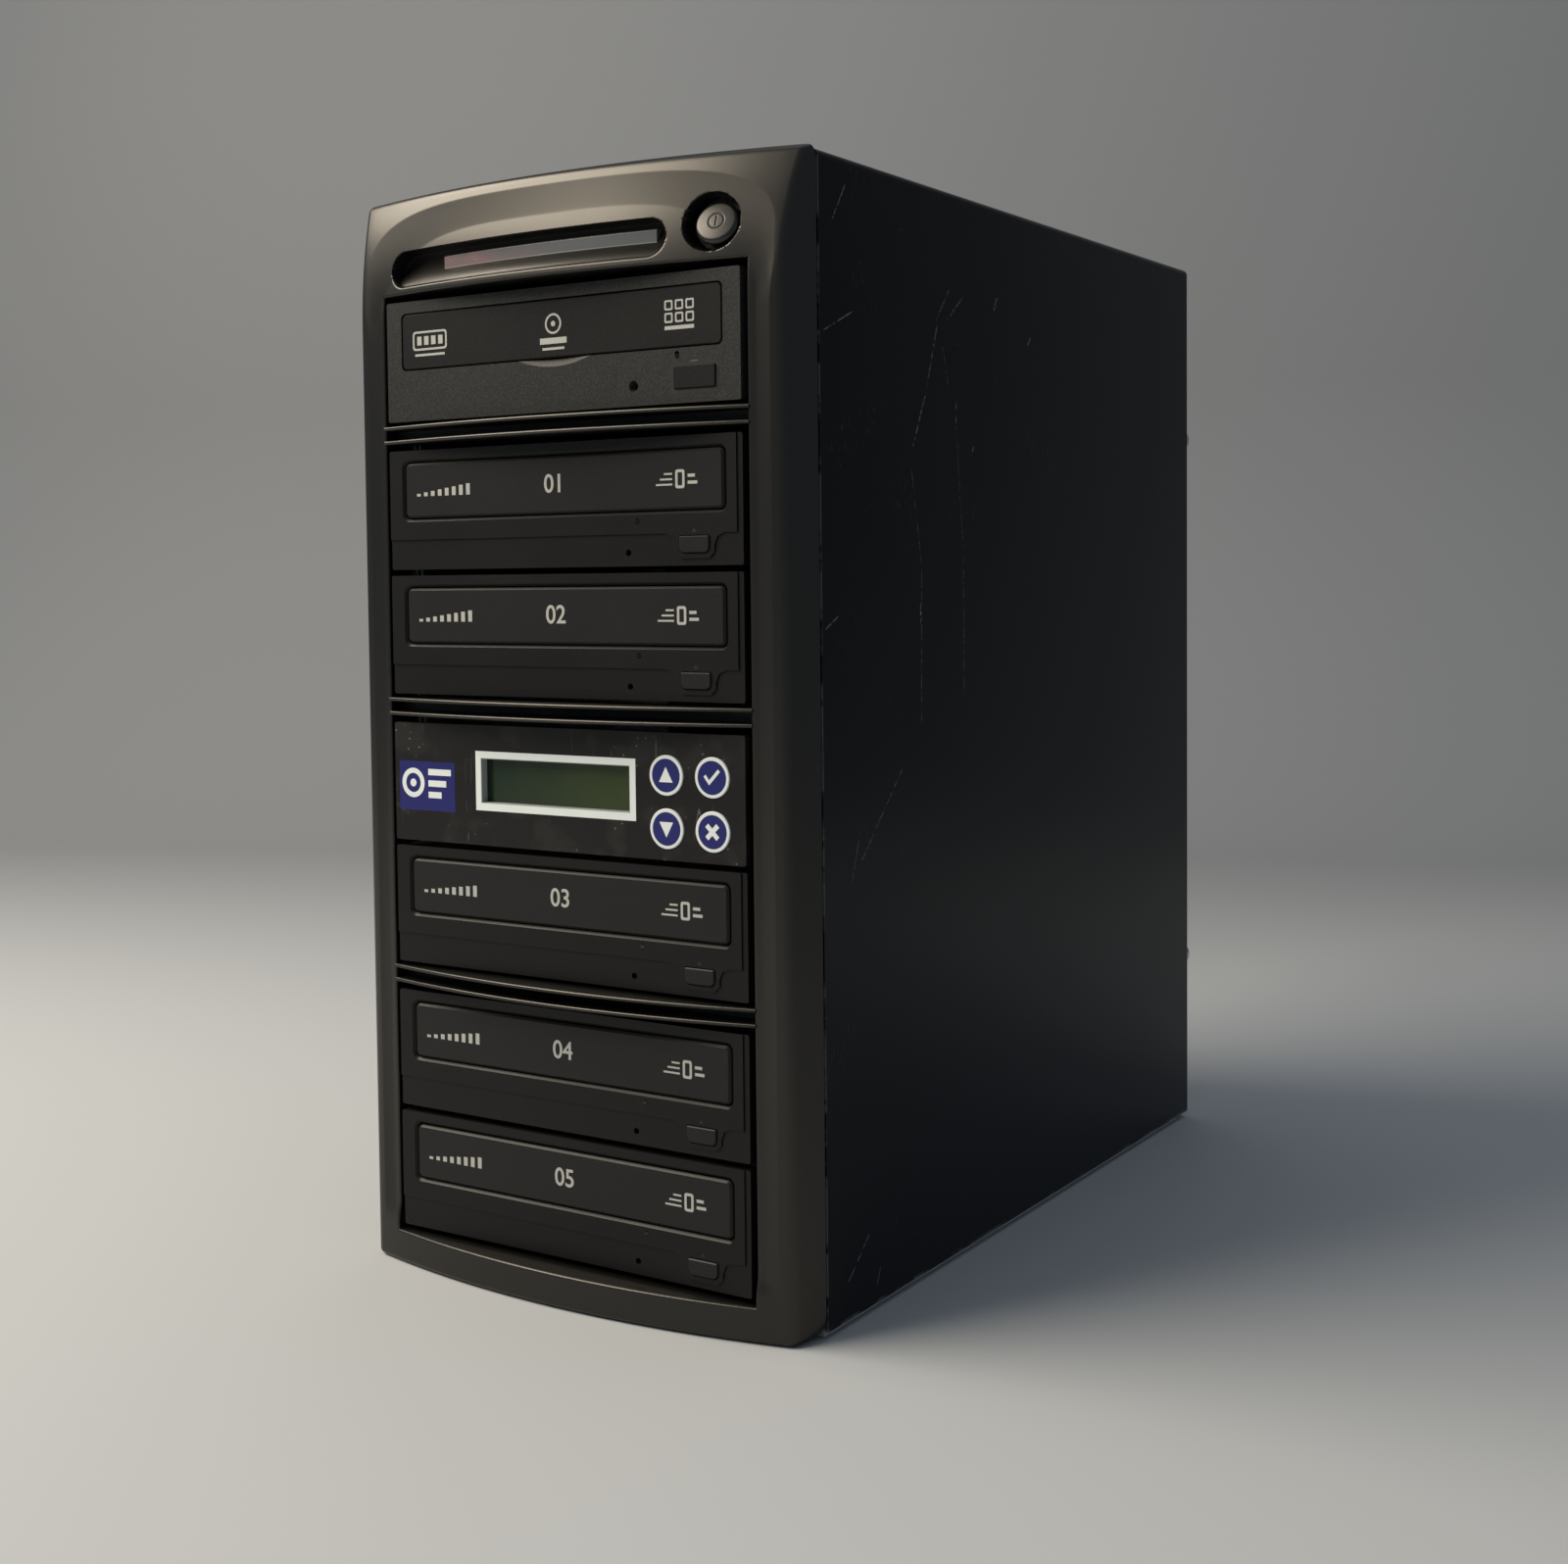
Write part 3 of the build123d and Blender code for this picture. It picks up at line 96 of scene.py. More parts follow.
ahead = Vector((-math.sin(CAMERA_AZIMUTH) * math.cos(CAMERA_PITCH),
                math.cos(CAMERA_AZIMUTH) * math.cos(CAMERA_PITCH), math.sin(CAMERA_PITCH)))
right = ahead.cross(Vector((0, 0, 1))).normalized()
up = right.cross(ahead)
rolled_right = math.cos(CAMERA_ROLL) * right + math.sin(CAMERA_ROLL) * up
rolled_up = math.cos(CAMERA_ROLL) * up - math.sin(CAMERA_ROLL) * right

camera_data = bpy.data.cameras.new("camera")
camera_data.sensor_width = 36.0
camera_data.lens = 46.44
camera_data.shift_x = 0.0167
camera_data.shift_y = -0.0681
camera = bpy.data.objects.new("camera", camera_data)
bpy.context.collection.objects.link(camera)
turn = Matrix((rolled_right, rolled_up, -ahead)).transposed().to_4x4()
camera.matrix_world = Matrix.Translation(at(*CAMERA_PLACE)) @ turn
bpy.context.scene.camera = camera
print("camera at", [round(v, 3) for v in camera.location])

# %% [markdown]
# ## Floor, backdrop and light
# The floor and the wall behind are one pale sheet that curves up, so no line shows where they meet. A metallic
# lacquer shows what it mirrors, so the lamps are placed by reflection: one large warm panel stands to the left,
# where the leaning head mirrors it to the camera, and nothing bright stands where the upright front faces look.
# A cooler lamp high above lights the floor, and a dim bluish world fills the shadows.

# %% Floor and backdrop
SWEEP_RADIUS = 0.45
SWEEP_BACK = 0.95
SWEEP_HALF = 3.2
SWEEP_FRONT = -2.4
SWEEP_TOP = 2.6


def mesh_object(name, verts, faces):
    """An object from points and faces, linked to the scene."""
    mesh = bpy.data.meshes.new(name)
    mesh.from_pydata([tuple(v) for v in verts], [], faces)
    mesh.update()
    thing = bpy.data.objects.new(name, mesh)
    bpy.context.collection.objects.link(thing)
    return thing


arc = [(SWEEP_BACK + SWEEP_RADIUS * math.sin(a), SWEEP_RADIUS * (1 - math.cos(a)))
       for a in np.linspace(0, math.pi / 2, 24)]
profile = [(SWEEP_FRONT, 0.0)] + arc + [(SWEEP_BACK + SWEEP_RADIUS, SWEEP_TOP)]
verts = [(side * SWEEP_HALF, y, z) for y, z in profile for side in (-1, 1)]
faces = [(2 * k, 2 * k + 1, 2 * k + 3, 2 * k + 2) for k in range(len(profile) - 1)]
backdrop = mesh_object("backdrop", verts, faces)
for polygon in backdrop.data.polygons:
    polygon.use_smooth = True
backdrop.matrix_world = Matrix.Rotation(math.radians(24), 4, "Z")

# %% Lamps and world
def area_lamp(name, place, target, size, power, colour):
    """A soft rectangular lamp that looks at a target; places in metres."""
    data = bpy.data.lights.new(name, "AREA")
    data.shape = "RECTANGLE"
    data.size, data.size_y = size
    data.energy = power
    data.color = colour
    lamp = bpy.data.objects.new(name, data)
    bpy.context.collection.objects.link(lamp)
    lamp.location = place
    lamp.rotation_euler = (Vector(target) - Vector(place)).to_track_quat("-Z", "Y").to_euler()
    return lamp

area_lamp("warm panel", (-0.98, -0.82, 1.32), (0.0, -0.15, 0.36), (1.5, 0.75), 40, (1.0, 0.90, 0.75))
area_lamp("room light", (-0.2, 0.3, 2.3), (0.0, 0.2, 0.0), (1.8, 1.4), 5, (0.90, 0.95, 1.0))

world = bpy.data.worlds.new("studio")
bpy.context.scene.world = world
world.use_nodes = True
background = world.node_tree.nodes["Background"]
background.inputs["Color"].default_value = (0.72, 0.85, 1.0, 1)
background.inputs["Strength"].default_value = 0.23
bpy.context.scene.view_settings.view_transform = "Standard"

# %% [markdown]
# ## Shader maths as expressions
# A finish is a small formula: noise, stretched and mixed into a colour or a roughness. The class below wraps a
# node's output, so that a formula reads as plain arithmetic, and it adds the Math nodes by itself.

# %% A small language for materials
class Socket:
    """A node's output, or a number, that can be added, multiplied and compared."""

    def __init__(self, tree, link):
        self.tree = tree
        self.link = link

    def math(self, operation, other=0.0, third=None):
        node = self.tree.nodes.new("ShaderNodeMath")
        node.operation = operation
        values = (self, other) if third is None else (self, other, third)
        for slot, value in enumerate(values):
            feed(self.tree, node.inputs[slot], value)
        return Socket(self.tree, node.outputs[0])

    def __add__(self, other):
        return self.math("ADD", other)

    __radd__ = __add__

    def __mul__(self, other):
        return self.math("MULTIPLY", other)

    __rmul__ = __mul__

    def __sub__(self, other):
        return self.math("SUBTRACT", other)

    def __rsub__(self, other):
        return (self * -1.0) + other

    def __gt__(self, other):
        return self.math("GREATER_THAN", other)

    def abs(self):
        return self.math("ABSOLUTE")

    def clamp(self):
        return self.math("MINIMUM", 1.0).math("MAXIMUM", 0.0)


def feed(tree, entry, value):
    """Set an input to a number or a colour, or link a socket to it."""
    if isinstance(value, Socket):
        tree.links.new(value.link, entry)
    elif isinstance(value, (int, float)):
        entry.default_value = value
    else:
        wanted = len(entry.default_value)
        entry.default_value = tuple(value)[:wanted] if len(value) >= wanted else (*value, 1.0)


class Finish:
    """One material: its nodes, and short names for the ones that the tower needs."""

    def __init__(self, name):
        self.material = bpy.data.materials.new(name)
        self.material.use_nodes = True
        self.tree = self.material.node_tree
        self.shader = self.tree.nodes["Principled BSDF"]

    def node(self, kind, settings=None, output=0, **values):
        made = self.tree.nodes.new(kind)
        for key, value in (settings or {}).items():
            setattr(made, key, value)
        for key, value in values.items():
            feed(self.tree, made.inputs[key.replace("_", " ")], value)
        return Socket(self.tree, made.outputs[output])

    def place(self, scale=(1, 1, 1), turn=(0, 0, 0)):
        """A point of the object in metres, stretched and turned."""
        coordinates = self.node("ShaderNodeTexCoord", output=3)
        return self.node("ShaderNodeMapping", Vector=coordinates, Scale=scale, Rotation=turn)

    def noise(self, size, detail=3.0, roughness=0.55, scale=(1, 1, 1), turn=(0, 0, 0)):
        """Noise whose blobs are about size millimetres across."""
        return self.node("ShaderNodeTexNoise", Vector=self.place(scale, turn), Scale=1000.0 / size, Detail=detail,
                         Roughness=roughness)

    def cells(self, size, feature="F1", scale=(1, 1, 1), turn=(0, 0, 0), randomness=1.0):
        """Distance to scattered points about size millimetres apart."""
        return self.node("ShaderNodeTexVoronoi", {"feature": feature}, Vector=self.place(scale, turn),
                         Scale=1000.0 / size, Randomness=randomness)

    def between(self, value, low_end, high_end):
        """0 below low_end, 1 above high_end and a smooth way between."""
        return self.node("ShaderNodeMapRange", {"interpolation_type": "SMOOTHSTEP"}, Value=value, From_Min=low_end,
                         From_Max=high_end)

    def mix(self, share, first, second):
        """A colour between two colours."""
        made = self.tree.nodes.new("ShaderNodeMix")
        made.data_type = "RGBA"
        feed(self.tree, made.inputs[0], share)
        feed(self.tree, made.inputs[6], first)
        feed(self.tree, made.inputs[7], second)
        return Socket(self.tree, made.outputs[2])

    def bump(self, height, depth, strength=1.0):
        """Relief of depth millimetres where height goes from 0 to 1."""
        made = self.tree.nodes.new("ShaderNodeBump")
        made.inputs["Distance"].default_value = depth * MM
        made.inputs["Strength"].default_value = strength
        feed(self.tree, made.inputs["Height"], height)
        self.set(Normal=Socket(self.tree, made.outputs[0]))

    def set(self, **values):
        for key, value in values.items():
            feed(self.tree, self.shader.inputs[key.replace("_", " ")], value)
        return self


# %% [markdown]
# ## Finishes
# The bezel is a dark lacquer with fine metal flake, so it is nearly all reflection. The drives are black plastic,
# spark-eroded to a grain that differs from part to part. The hood is gloss black steel with hairline scratches,
# each a short line across its side: a formula gives the distance to a line, and the distance gives the mark.

# %% Plastics, paper and metals
def plain(name, colour, roughness, metallic=0.0, grain=1.0, depth=0.004):
    """A finish whose colour and gloss wander a little, with a fine grain."""
    finish = Finish(name)
    wander = finish.noise(14, detail=4)
    fine = finish.noise(grain, detail=2)
    darker = tuple(0.86 * v for v in colour)
    finish.set(Base_Color=finish.mix(wander, darker, colour), Metallic=metallic,
               Roughness=(wander - 0.5) * 0.14 + roughness)
    finish.bump(fine, depth)
    return finish.material


def pewter_paint(name, colour, roughness):
    """Metallic lacquer: fine flake, a soft gloss and a little dust."""
    finish = Finish(name)
    flake = finish.noise(0.30, detail=2)
    cloud = finish.noise(60, detail=3)
    darker = tuple(0.86 * v for v in colour)
    finish.set(Base_Color=finish.mix((cloud * 0.6 + flake * 0.4).clamp(), darker, colour), Metallic=0.92,
               Roughness=(flake - 0.5) * 0.16 + roughness)
    finish.bump(flake, 0.004)
    return finish.material


def drive_plastic(name, colour, grain, depth, roughness, contrast=1.5):
    """Black moulded plastic with a spark-eroded grain."""
    finish = Finish(name)
    speck = finish.noise(grain, detail=2, roughness=0.7)
    cloud = finish.noise(35, detail=3)
    lighter = tuple(contrast * v for v in colour)
    finish.set(Base_Color=finish.mix(finish.between(speck, 0.42, 0.70), colour, lighter),
               Roughness=(cloud - 0.5) * 0.12 + roughness, Specular_IOR_Level=0.24)
    finish.bump(speck, depth)
    return finish.material


def panel_film():
    """Dull black film on the display panel, with dust and fine scuffs."""
    finish = Finish("panel film")
    grain = finish.noise(0.30, detail=2)
    cloud = finish.noise(25, detail=4)
    dusty = finish.between(finish.noise(18, detail=2), 0.50, 0.62)
    speck = finish.between(finish.cells(2.6), 0.16, 0.07) * dusty
    scuff = finish.between((finish.noise(11, detail=1, scale=(1, 1, 0.05), turn=(0, 0.6, 0)) - 0.5).abs(),
                           0.0022, 0.0008) * finish.between(finish.noise(16, detail=1), 0.55, 0.65)
    marks = (speck * 0.55 + scuff * 0.35 + dusty * 0.03).clamp()
    base = finish.mix(cloud, (0.0080, 0.0076, 0.0074), (0.0115, 0.0110, 0.0105))
    finish.set(Base_Color=finish.mix(marks, base, (0.30, 0.30, 0.27)), Roughness=(cloud - 0.5) * 0.12 + 0.42,
               Specular_IOR_Level=0.24)
    finish.bump(grain, 0.004)
    return finish.material


def zinc_sheet():
    """Zinc-coated sheet: large pale crystals and a rolled grain."""
    finish = Finish("zinc sheet")
    crystal = finish.cells(11, randomness=0.9)
    rolled = finish.noise(1.2, detail=3, scale=(1, 1, 0.06))
    finish.set(Base_Color=finish.mix(crystal, (0.52, 0.53, 0.54), (0.66, 0.67, 0.68)), Metallic=0.95,
               Roughness=(rolled - 0.5) * 0.2 + 0.40)
    finish.bump(rolled, 0.004)
    return finish.material


def display_glass():
    """The dark green display under its clear window: darker towards the left, which is painted shade from the
    window's deep frame, and more olive towards the lower right.
    """
    finish = Finish("green display")
    across = finish.node("ShaderNodeSeparateXYZ", Vector=finish.place(), output=0)
    # share darkens the left of the display: painted shade from the window's frame.
    share = finish.between(across, -0.034, 0.026)
    smear = finish.noise(16, detail=2, scale=(1, 1, 0.5), turn=(0, 0.5, 0))
    colour = finish.mix((share * 0.9 + (smear - 0.5) * 0.5).clamp(), (0.008, 0.023, 0.009), (0.033, 0.050, 0.010))
    finish.set(Base_Color=colour, Roughness=smear * 0.1 + 0.10)
    return finish.material


def clear_bar():
    """The moulded light bar: a glossy strip, pale at its lower edge, with a faint blush at its left."""
    finish = Finish("clear light bar")
    point = finish.place()
    across = finish.node("ShaderNodeSeparateXYZ", Vector=point, output=0)
    rise = finish.node("ShaderNodeSeparateXYZ", Vector=point, output=2) * 1000.0 - HOOD_Z
    streak = finish.noise(3.0, detail=3, scale=(0.12, 1, 1))
    blush = finish.between(across, 0.005, -0.030) * finish.between(streak, 0.35, 0.75)
    pale = finish.mix(streak, (0.28, 0.28, 0.27), (0.56, 0.55, 0.52))
    pale = finish.mix(finish.between(rise, 348.0, 348.8), pale, (0.16, 0.165, 0.17))
    finish.set(Base_Color=finish.mix(blush * 0.6, pale, (0.34, 0.15, 0.15)), Roughness=streak * 0.2 + 0.14)
    return finish.material


def backdrop_paper():
    """Matt paper: pale grey under the tower, and a deeper grey towards the back, which is painted shade for the
    light falling off.
    """
    finish = Finish("pale sheet")
    depth = finish.node("ShaderNodeSeparateXYZ", Vector=finish.place(), output=1)
    fibre = finish.noise(1.5, detail=2)
    # The deeper grey towards the back is painted shade, not the paper's own tone.
    colour = finish.mix(finish.between(depth, 0.05, 1.0), (0.50, 0.515, 0.53), (0.29, 0.30, 0.315))
    finish.set(Base_Color=colour, Roughness=0.9)
    finish.bump(fibre, 0.02)
    return finish.material


# %% Hood lacquer with its scratches
# Each scratch runs from one point to another on the right side: distance behind the faceplates and height, mm,
# then its width and how bright it is.
HOOD_SCRATCHES = (((23, 353), (32, 366), 0.30, 0.50), ((17, 318), (36, 326), 0.35, 0.40),
                  ((94, 329), (85, 304), 0.55, 0.30), ((85, 304), (75, 284), 0.45, 0.45),
                  ((74, 278), (81, 244), 0.30, 0.22), ((81, 244), (80, 190), 0.28, 0.30),
                  ((80, 232), (80, 224), 0.40, 0.90), ((97, 321), (102, 304), 0.30, 0.18),
                  ((107, 305), (107, 291), 0.35, 0.40), ((107, 291), (112, 250), 0.25, 0.18),
                  ((112, 250), (112, 198), 0.28, 0.28), ((103, 341), (92, 328), 0.45, 0.25),
                  ((113, 339), (100, 329), 0.50, 0.22), ((140, 342), (137, 336), 0.40, 0.60),
                  ((168, 330), (165, 326), 0.40, 0.90), ((121, 288), (119, 284), 0.40, 0.90),
                  ((26, 229), (16, 224), 0.40, 0.35), ((67, 177), (38, 148), 0.28, 0.32),
                  ((38, 159), (32, 142), 0.30, 0.30), ((42, 25), (27, 12), 0.30, 0.40),
                  ((49, 12), (46, 5), 0.35, 0.30))


def scratch(finish, y, h, start, end, width, bright):
    """A mark along a straight line from start to end, thin and a little uneven."""
    run = (end[0] - start[0], end[1] - start[1])
    length = math.hypot(*run)
    run = (run[0] / length, run[1] / length)
    along = (y - start[0]) * run[0] + (h - start[1]) * run[1]
    across = ((y - start[0]) * run[1] - (h - start[1]) * run[0]).abs()
    within = finish.between((along - length / 2).abs(), length / 2, length / 2 - 2.0)
    return finish.between(across, width, width * 0.35) * within * bright


def hood_paint():
    """Gloss black lacquer over steel, worn along its front edge."""
    finish = Finish("black hood lacquer")
    orange_peel = finish.noise(2.5, detail=2)
    cloud = finish.noise(90, detail=4)
    point = finish.place()
    x, y, z = (finish.node("ShaderNodeSeparateXYZ", Vector=point, output=k) for k in range(3))
    behind = y * 1000.0 - FACE_Y
    height = z * 1000.0 - HOOD_Z
    marks = None
    for start, end, width, bright in HOOD_SCRATCHES:
        mark = scratch(finish, behind, height, start, end, width, bright)
        marks = mark if marks is None else marks + mark
    broken = finish.between(finish.noise(1.6, detail=2), 0.36, 0.62)
    on_side = x * 1000.0 > HALF - 1.0
    marks = marks * broken * on_side
    edge = finish.between(behind, SEAM_Y - FACE_Y + 0.8, SEAM_Y - FACE_Y + 0.2)
    edge = edge * finish.between(finish.noise(9, detail=3), 0.42, 0.60) * 0.22
    foot = finish.between(height, 1.4, 0.4) * finish.between(finish.noise(12, detail=3), 0.46, 0.60) * 0.22
    rub = finish.between(finish.noise(0.8, detail=2, scale=(1, 1, 0.2), turn=(0.7, 0, 0)), 0.60, 0.72)
    rub = rub * finish.between(finish.noise(34, detail=1), 0.56, 0.70) * 0.06
    dust = finish.between(finish.cells(7), 0.045, 0.015) * finish.between(finish.noise(30), 0.5, 0.6) * 0.25
    marks = (marks + edge + foot + rub + dust).clamp()
    base = finish.mix(cloud, (0.0010, 0.0013, 0.0026), (0.0018, 0.0023, 0.0040))
    finish.set(Base_Color=finish.mix(marks, base, (0.42, 0.43, 0.44)), Roughness=marks * 0.3 + cloud * 0.10 + 0.19,
               Specular_IOR_Level=0.20)
    finish.bump(orange_peel, 0.003)
    return finish.material


# %% The finishes by name
PEWTER = pewter_paint("pewter lacquer", (0.056, 0.0535, 0.049), 0.32)
BUTTON_PEWTER = pewter_paint("button pewter", (0.062, 0.060, 0.056), 0.34)
HOOD_BLACK = hood_paint()
READER_PLATE = drive_plastic("speckled reader plastic", (0.017, 0.0167, 0.0155), 0.50, 0.035, 0.50, 2.6)
READER_DOOR = drive_plastic("reader door plastic", (0.0034, 0.0032, 0.0032), 0.50, 0.035, 0.45, 2.6)
WRITER_DOOR = drive_plastic("writer door plastic", (0.0130, 0.0122, 0.0120), 0.35, 0.010, 0.42)
WRITER_PLATE = drive_plastic("writer plate plastic", (0.0056, 0.0053, 0.0052), 0.35, 0.012, 0.42)
PANEL_BLACK = panel_film()
ZINC = zinc_sheet()
DISPLAY_GREEN = display_glass()
CLEAR_BAR = clear_bar()
GLOSS_BLACK = plain("gloss black ring", (0.004, 0.004, 0.004), 0.14, grain=2.0, depth=0.001)
# Near-black that stands for shade: the back of the crossbar slots and the gap round the reader's eject button are
# painted shade. The power button's sign also takes it.
SHADOW_BLACK = plain("near black for painted shade and the button sign", (0.004, 0.004, 0.004), 0.6)
INK_DARK = plain("engraved line", (0.012, 0.012, 0.012), 0.5)
INK_DIM = plain("dim embossed mark", (0.10, 0.10, 0.095), 0.5, grain=0.3)
INK_PALE = plain("pale grey print", (0.52, 0.52, 0.48), 0.55, grain=0.3)
INK_WHITE = plain("white print", (0.90, 0.95, 0.93), 0.45, grain=0.3)
INK_BLUE = plain("blue print", (0.009, 0.012, 0.150), 0.35, grain=0.3)
FRAME_SIDE_PAINTED_SHADE = plain("white frame side in painted shade", (0.42, 0.46, 0.46), 0.45)
GREEN_BOARD = plain("circuit board", (0.03, 0.13, 0.06), 0.4)
DRIVE_STEEL = plain("drive case steel", (0.50, 0.51, 0.52), 0.42, metallic=0.95)
PLATED = plain("plated wire", (0.66, 0.66, 0.64), 0.25, metallic=1.0)
BLACK_NYLON = plain("black nylon", (0.016, 0.016, 0.017), 0.45)
DECK_GREY = plain("deck moulding", (0.05, 0.05, 0.055), 0.5)
PAD_RUBBER = plain("pad rubber", (0.02, 0.02, 0.02), 0.75)
SLEEVE = plain("cable sleeve", (0.22, 0.02, 0.02), 0.5)
backdrop.data.materials.append(backdrop_paper())
print("materials", len(bpy.data.materials))

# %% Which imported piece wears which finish
DRIVES = ("reader", "writer_1", "writer_2", "writer_3", "writer_4", "writer_5")


def dress(node, material):
    """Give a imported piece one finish."""
    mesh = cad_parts[node].data
    mesh.materials.clear()
    mesh.materials.append(material)


WEARS = {"hood": HOOD_BLACK, "front_bezel": PEWTER, "light_bar": CLEAR_BAR, "power_button": BUTTON_PEWTER,
         "power_switch": GREEN_BOARD, "thumbscrews": PLATED, "chassis_base": ZINC, "rubber_pads": PAD_RUBBER,
         "front_frame": ZINC, "rear_panel": ZINC, "drive_rails": ZINC, "drive_decks": DECK_GREY,
         "display_plate": PANEL_BLACK, "display_window": DISPLAY_GREEN, "lcd_module": GREEN_BOARD,
         "key_up": INK_WHITE, "key_enter": INK_WHITE, "key_down": INK_WHITE, "key_escape": INK_WHITE,
         "controller_board": GREEN_BOARD, "psu_case": DRIVE_STEEL, "psu_board": GREEN_BOARD,
         "power_inlet": BLACK_NYLON, "power_rocker": BLACK_NYLON, "fan_frames": BLACK_NYLON,
         "psu_fan_rotor": BLACK_NYLON, "case_fan_rotor": BLACK_NYLON, "fan_guards": PLATED, "screws": PLATED,
         "internal_cables": SLEEVE}
for drive in DRIVES:
    plate, door = (READER_PLATE, READER_DOOR) if drive == "reader" else (WRITER_PLATE, WRITER_DOOR)
    WEARS.update({f"{drive}_case": DRIVE_STEEL, f"{drive}_faceplate": plate, f"{drive}_tray": BLACK_NYLON,
                  f"{drive}_tray_door": door, f"{drive}_eject_button": door})
for node, material in WEARS.items():
    dress(node, material)


def soften(node, width, segments=3, angle=35):
    """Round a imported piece's edges a little, so that they catch the light."""
    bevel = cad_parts[node].modifiers.new("soft edges", "BEVEL")
    bevel.width = width * MM
    bevel.segments = segments
    bevel.limit_method = "ANGLE"
    bevel.angle_limit = math.radians(angle)
    bevel.harden_normals = True


for drive in DRIVES:
    if drive != "reader":
        soften(f"{drive}_faceplate", 0.35)
    soften(f"{drive}_tray_door", 0.2)
    soften(f"{drive}_eject_button", 0.2)
soften("display_plate", 0.3)
print("dressed", len(WEARS))

# %% [markdown]
# ## The bezel
# The front is one injection moulding: a shallow bow from side to side, a head that leans back at the top, and a
# broad hollow that runs down both pillars and widens under an arch in the head. The eye reads such a part by how
# light slides over it, so it is built as one dense skin. Each point's depth comes from a formula: the bow, plus
# the lean, plus the hollow, plus the long slot and the seat of the power button. The opening for the drives is
# left out of the skin and gets straight inner walls.

# %% Bezel: its sizes
BOW_RADIUS = 356.0
BOW_SAG = FACE_Y - low("front_bezel")[1]
SEAM = SEAM_Y - FACE_Y
SEAM_GROOVE = 0.9
GROOVE_DEPTH = 1.2
SIDE_CORNER = (88.3, 1.5)
CORNER_REACH = 2.4
BEZEL_TOP = high("front_bezel")[2] - HOOD_Z
BEZEL_LOW = low("front_bezel")[2] - HOOD_Z
LEAN_START = 330.0
LEAN_BACK = 8.0
BAY_HALF = 76.0
BAY_LOW = 9.5
BAY_HIGH = 340.3
SLOT = {"left": -72.0, "right": 48.0, "height": 349.1, "tall": 12.8, "deep": 7.0}
BUTTON_PLACE = (64.5, 1.8, 352.5)
BUTTON_TILT = math.radians(22.0)
BUTTON_TURN = math.radians(10.5)
HOLLOW_HALF = 84.0
HOLLOW_HEAD_WIDER = 2.0
HOLLOW_ARCH_FROM = 338.0
HOLLOW_ARCH_TALL = 33.0
HOLLOW_FOOT = (12.0, 20.0)
HOLLOW_HEAD = (330.0, 366.0)
DISH_RADIUS = 10.0
DISH_DEPTH = 7.0
DISH_SHIFT = 1.0


# %% Bezel: the formulas of its surface
def smooth(value, start, end):
    """0 before start, 1 after end, and a smooth way between."""
    share = np.clip((value - start) / (end - start), 0.0, 1.0)
    return share * share * (3 - 2 * share)


def bow(x):
    return -BOW_SAG + BOW_RADIUS - np.sqrt(BOW_RADIUS ** 2 - x ** 2)


def lean(h):
    return LEAN_BACK * (np.maximum(0.0, h - LEAN_START) / (BEZEL_TOP - LEAN_START)) ** 2


def hollow(x, h):
    """Depth of the broad hollow: a short wall in the pillars, a long gentle one in the head."""
    across = np.abs(x) / (HOLLOW_HALF + HOLLOW_HEAD_WIDER * smooth(h, 325.0, 345.0))
    above = np.maximum(0.0, h - HOLLOW_ARCH_FROM) / HOLLOW_ARCH_TALL
    inside = 1.0 - (across ** 4 + above ** 4) ** 0.25
    head = smooth(h, *HOLLOW_HEAD)
    share = np.clip(inside / (0.06 + 0.26 * head), 0.0, 1.0)
    return (1.3 + 0.2 * head) * share * (2 - share) ** 0.5 * smooth(h, *HOLLOW_FOOT)


def slot(x, h):
    """Depth of the long slot: a steep upper wall, and a floor that slopes out to the lower lip."""
    radius = SLOT["tall"] / 2
    middle = (SLOT["left"] + SLOT["right"]) / 2
    straight = (SLOT["right"] - SLOT["left"]) / 2 - radius
    rise = h - SLOT["height"]
    inside = radius - np.hypot(np.maximum(np.abs(x - middle) - straight, 0.0), rise)
    floor = SLOT["deep"] * (0.10 + 0.90 * smooth(rise, -radius - 2.0, radius * 0.55))
    return floor * smooth(inside, -0.1, 0.75)


def inside_dish(x, h):
    """How far a point lies inside the edge of the button's dish."""
    return DISH_RADIUS - np.hypot((x - BUTTON_PLACE[0] + DISH_SHIFT) / math.cos(BUTTON_TURN),
                                  (h - BUTTON_PLACE[2]) / math.cos(BUTTON_TILT))


def lip(x, h):
    """The rounded edge of the opening for the drives."""
    past = np.maximum(np.abs(x) - BAY_HALF, np.maximum(BAY_LOW - h, h - BAY_HIGH))
    near = np.clip(1.0 - past / 0.9, 0.0, 1.0)
    return 0.9 * (1.0 - np.sqrt(1.0 - near ** 2))


def surface(x, h):
    """How far behind the faceplate plane the bezel's front lies."""
    dish = DISH_DEPTH * smooth(inside_dish(x, h), -0.2, 0.6)
    return bow(x) + lean(h) + hollow(x, h) + slot(x, h) + dish + lip(x, h)


# %% Bezel: rows and columns of the skin
def steps(*stops):
    """Values from stop to stop; each stop is (value, spacing on the way to the next)."""
    values = []
    for (start, spacing), (end, _) in zip(stops, stops[1:]):
        values += list(np.linspace(start, end, max(2, int(round((end - start) / spacing)) + 1))[:-1])
    return np.array(values + [stops[-1][0]])


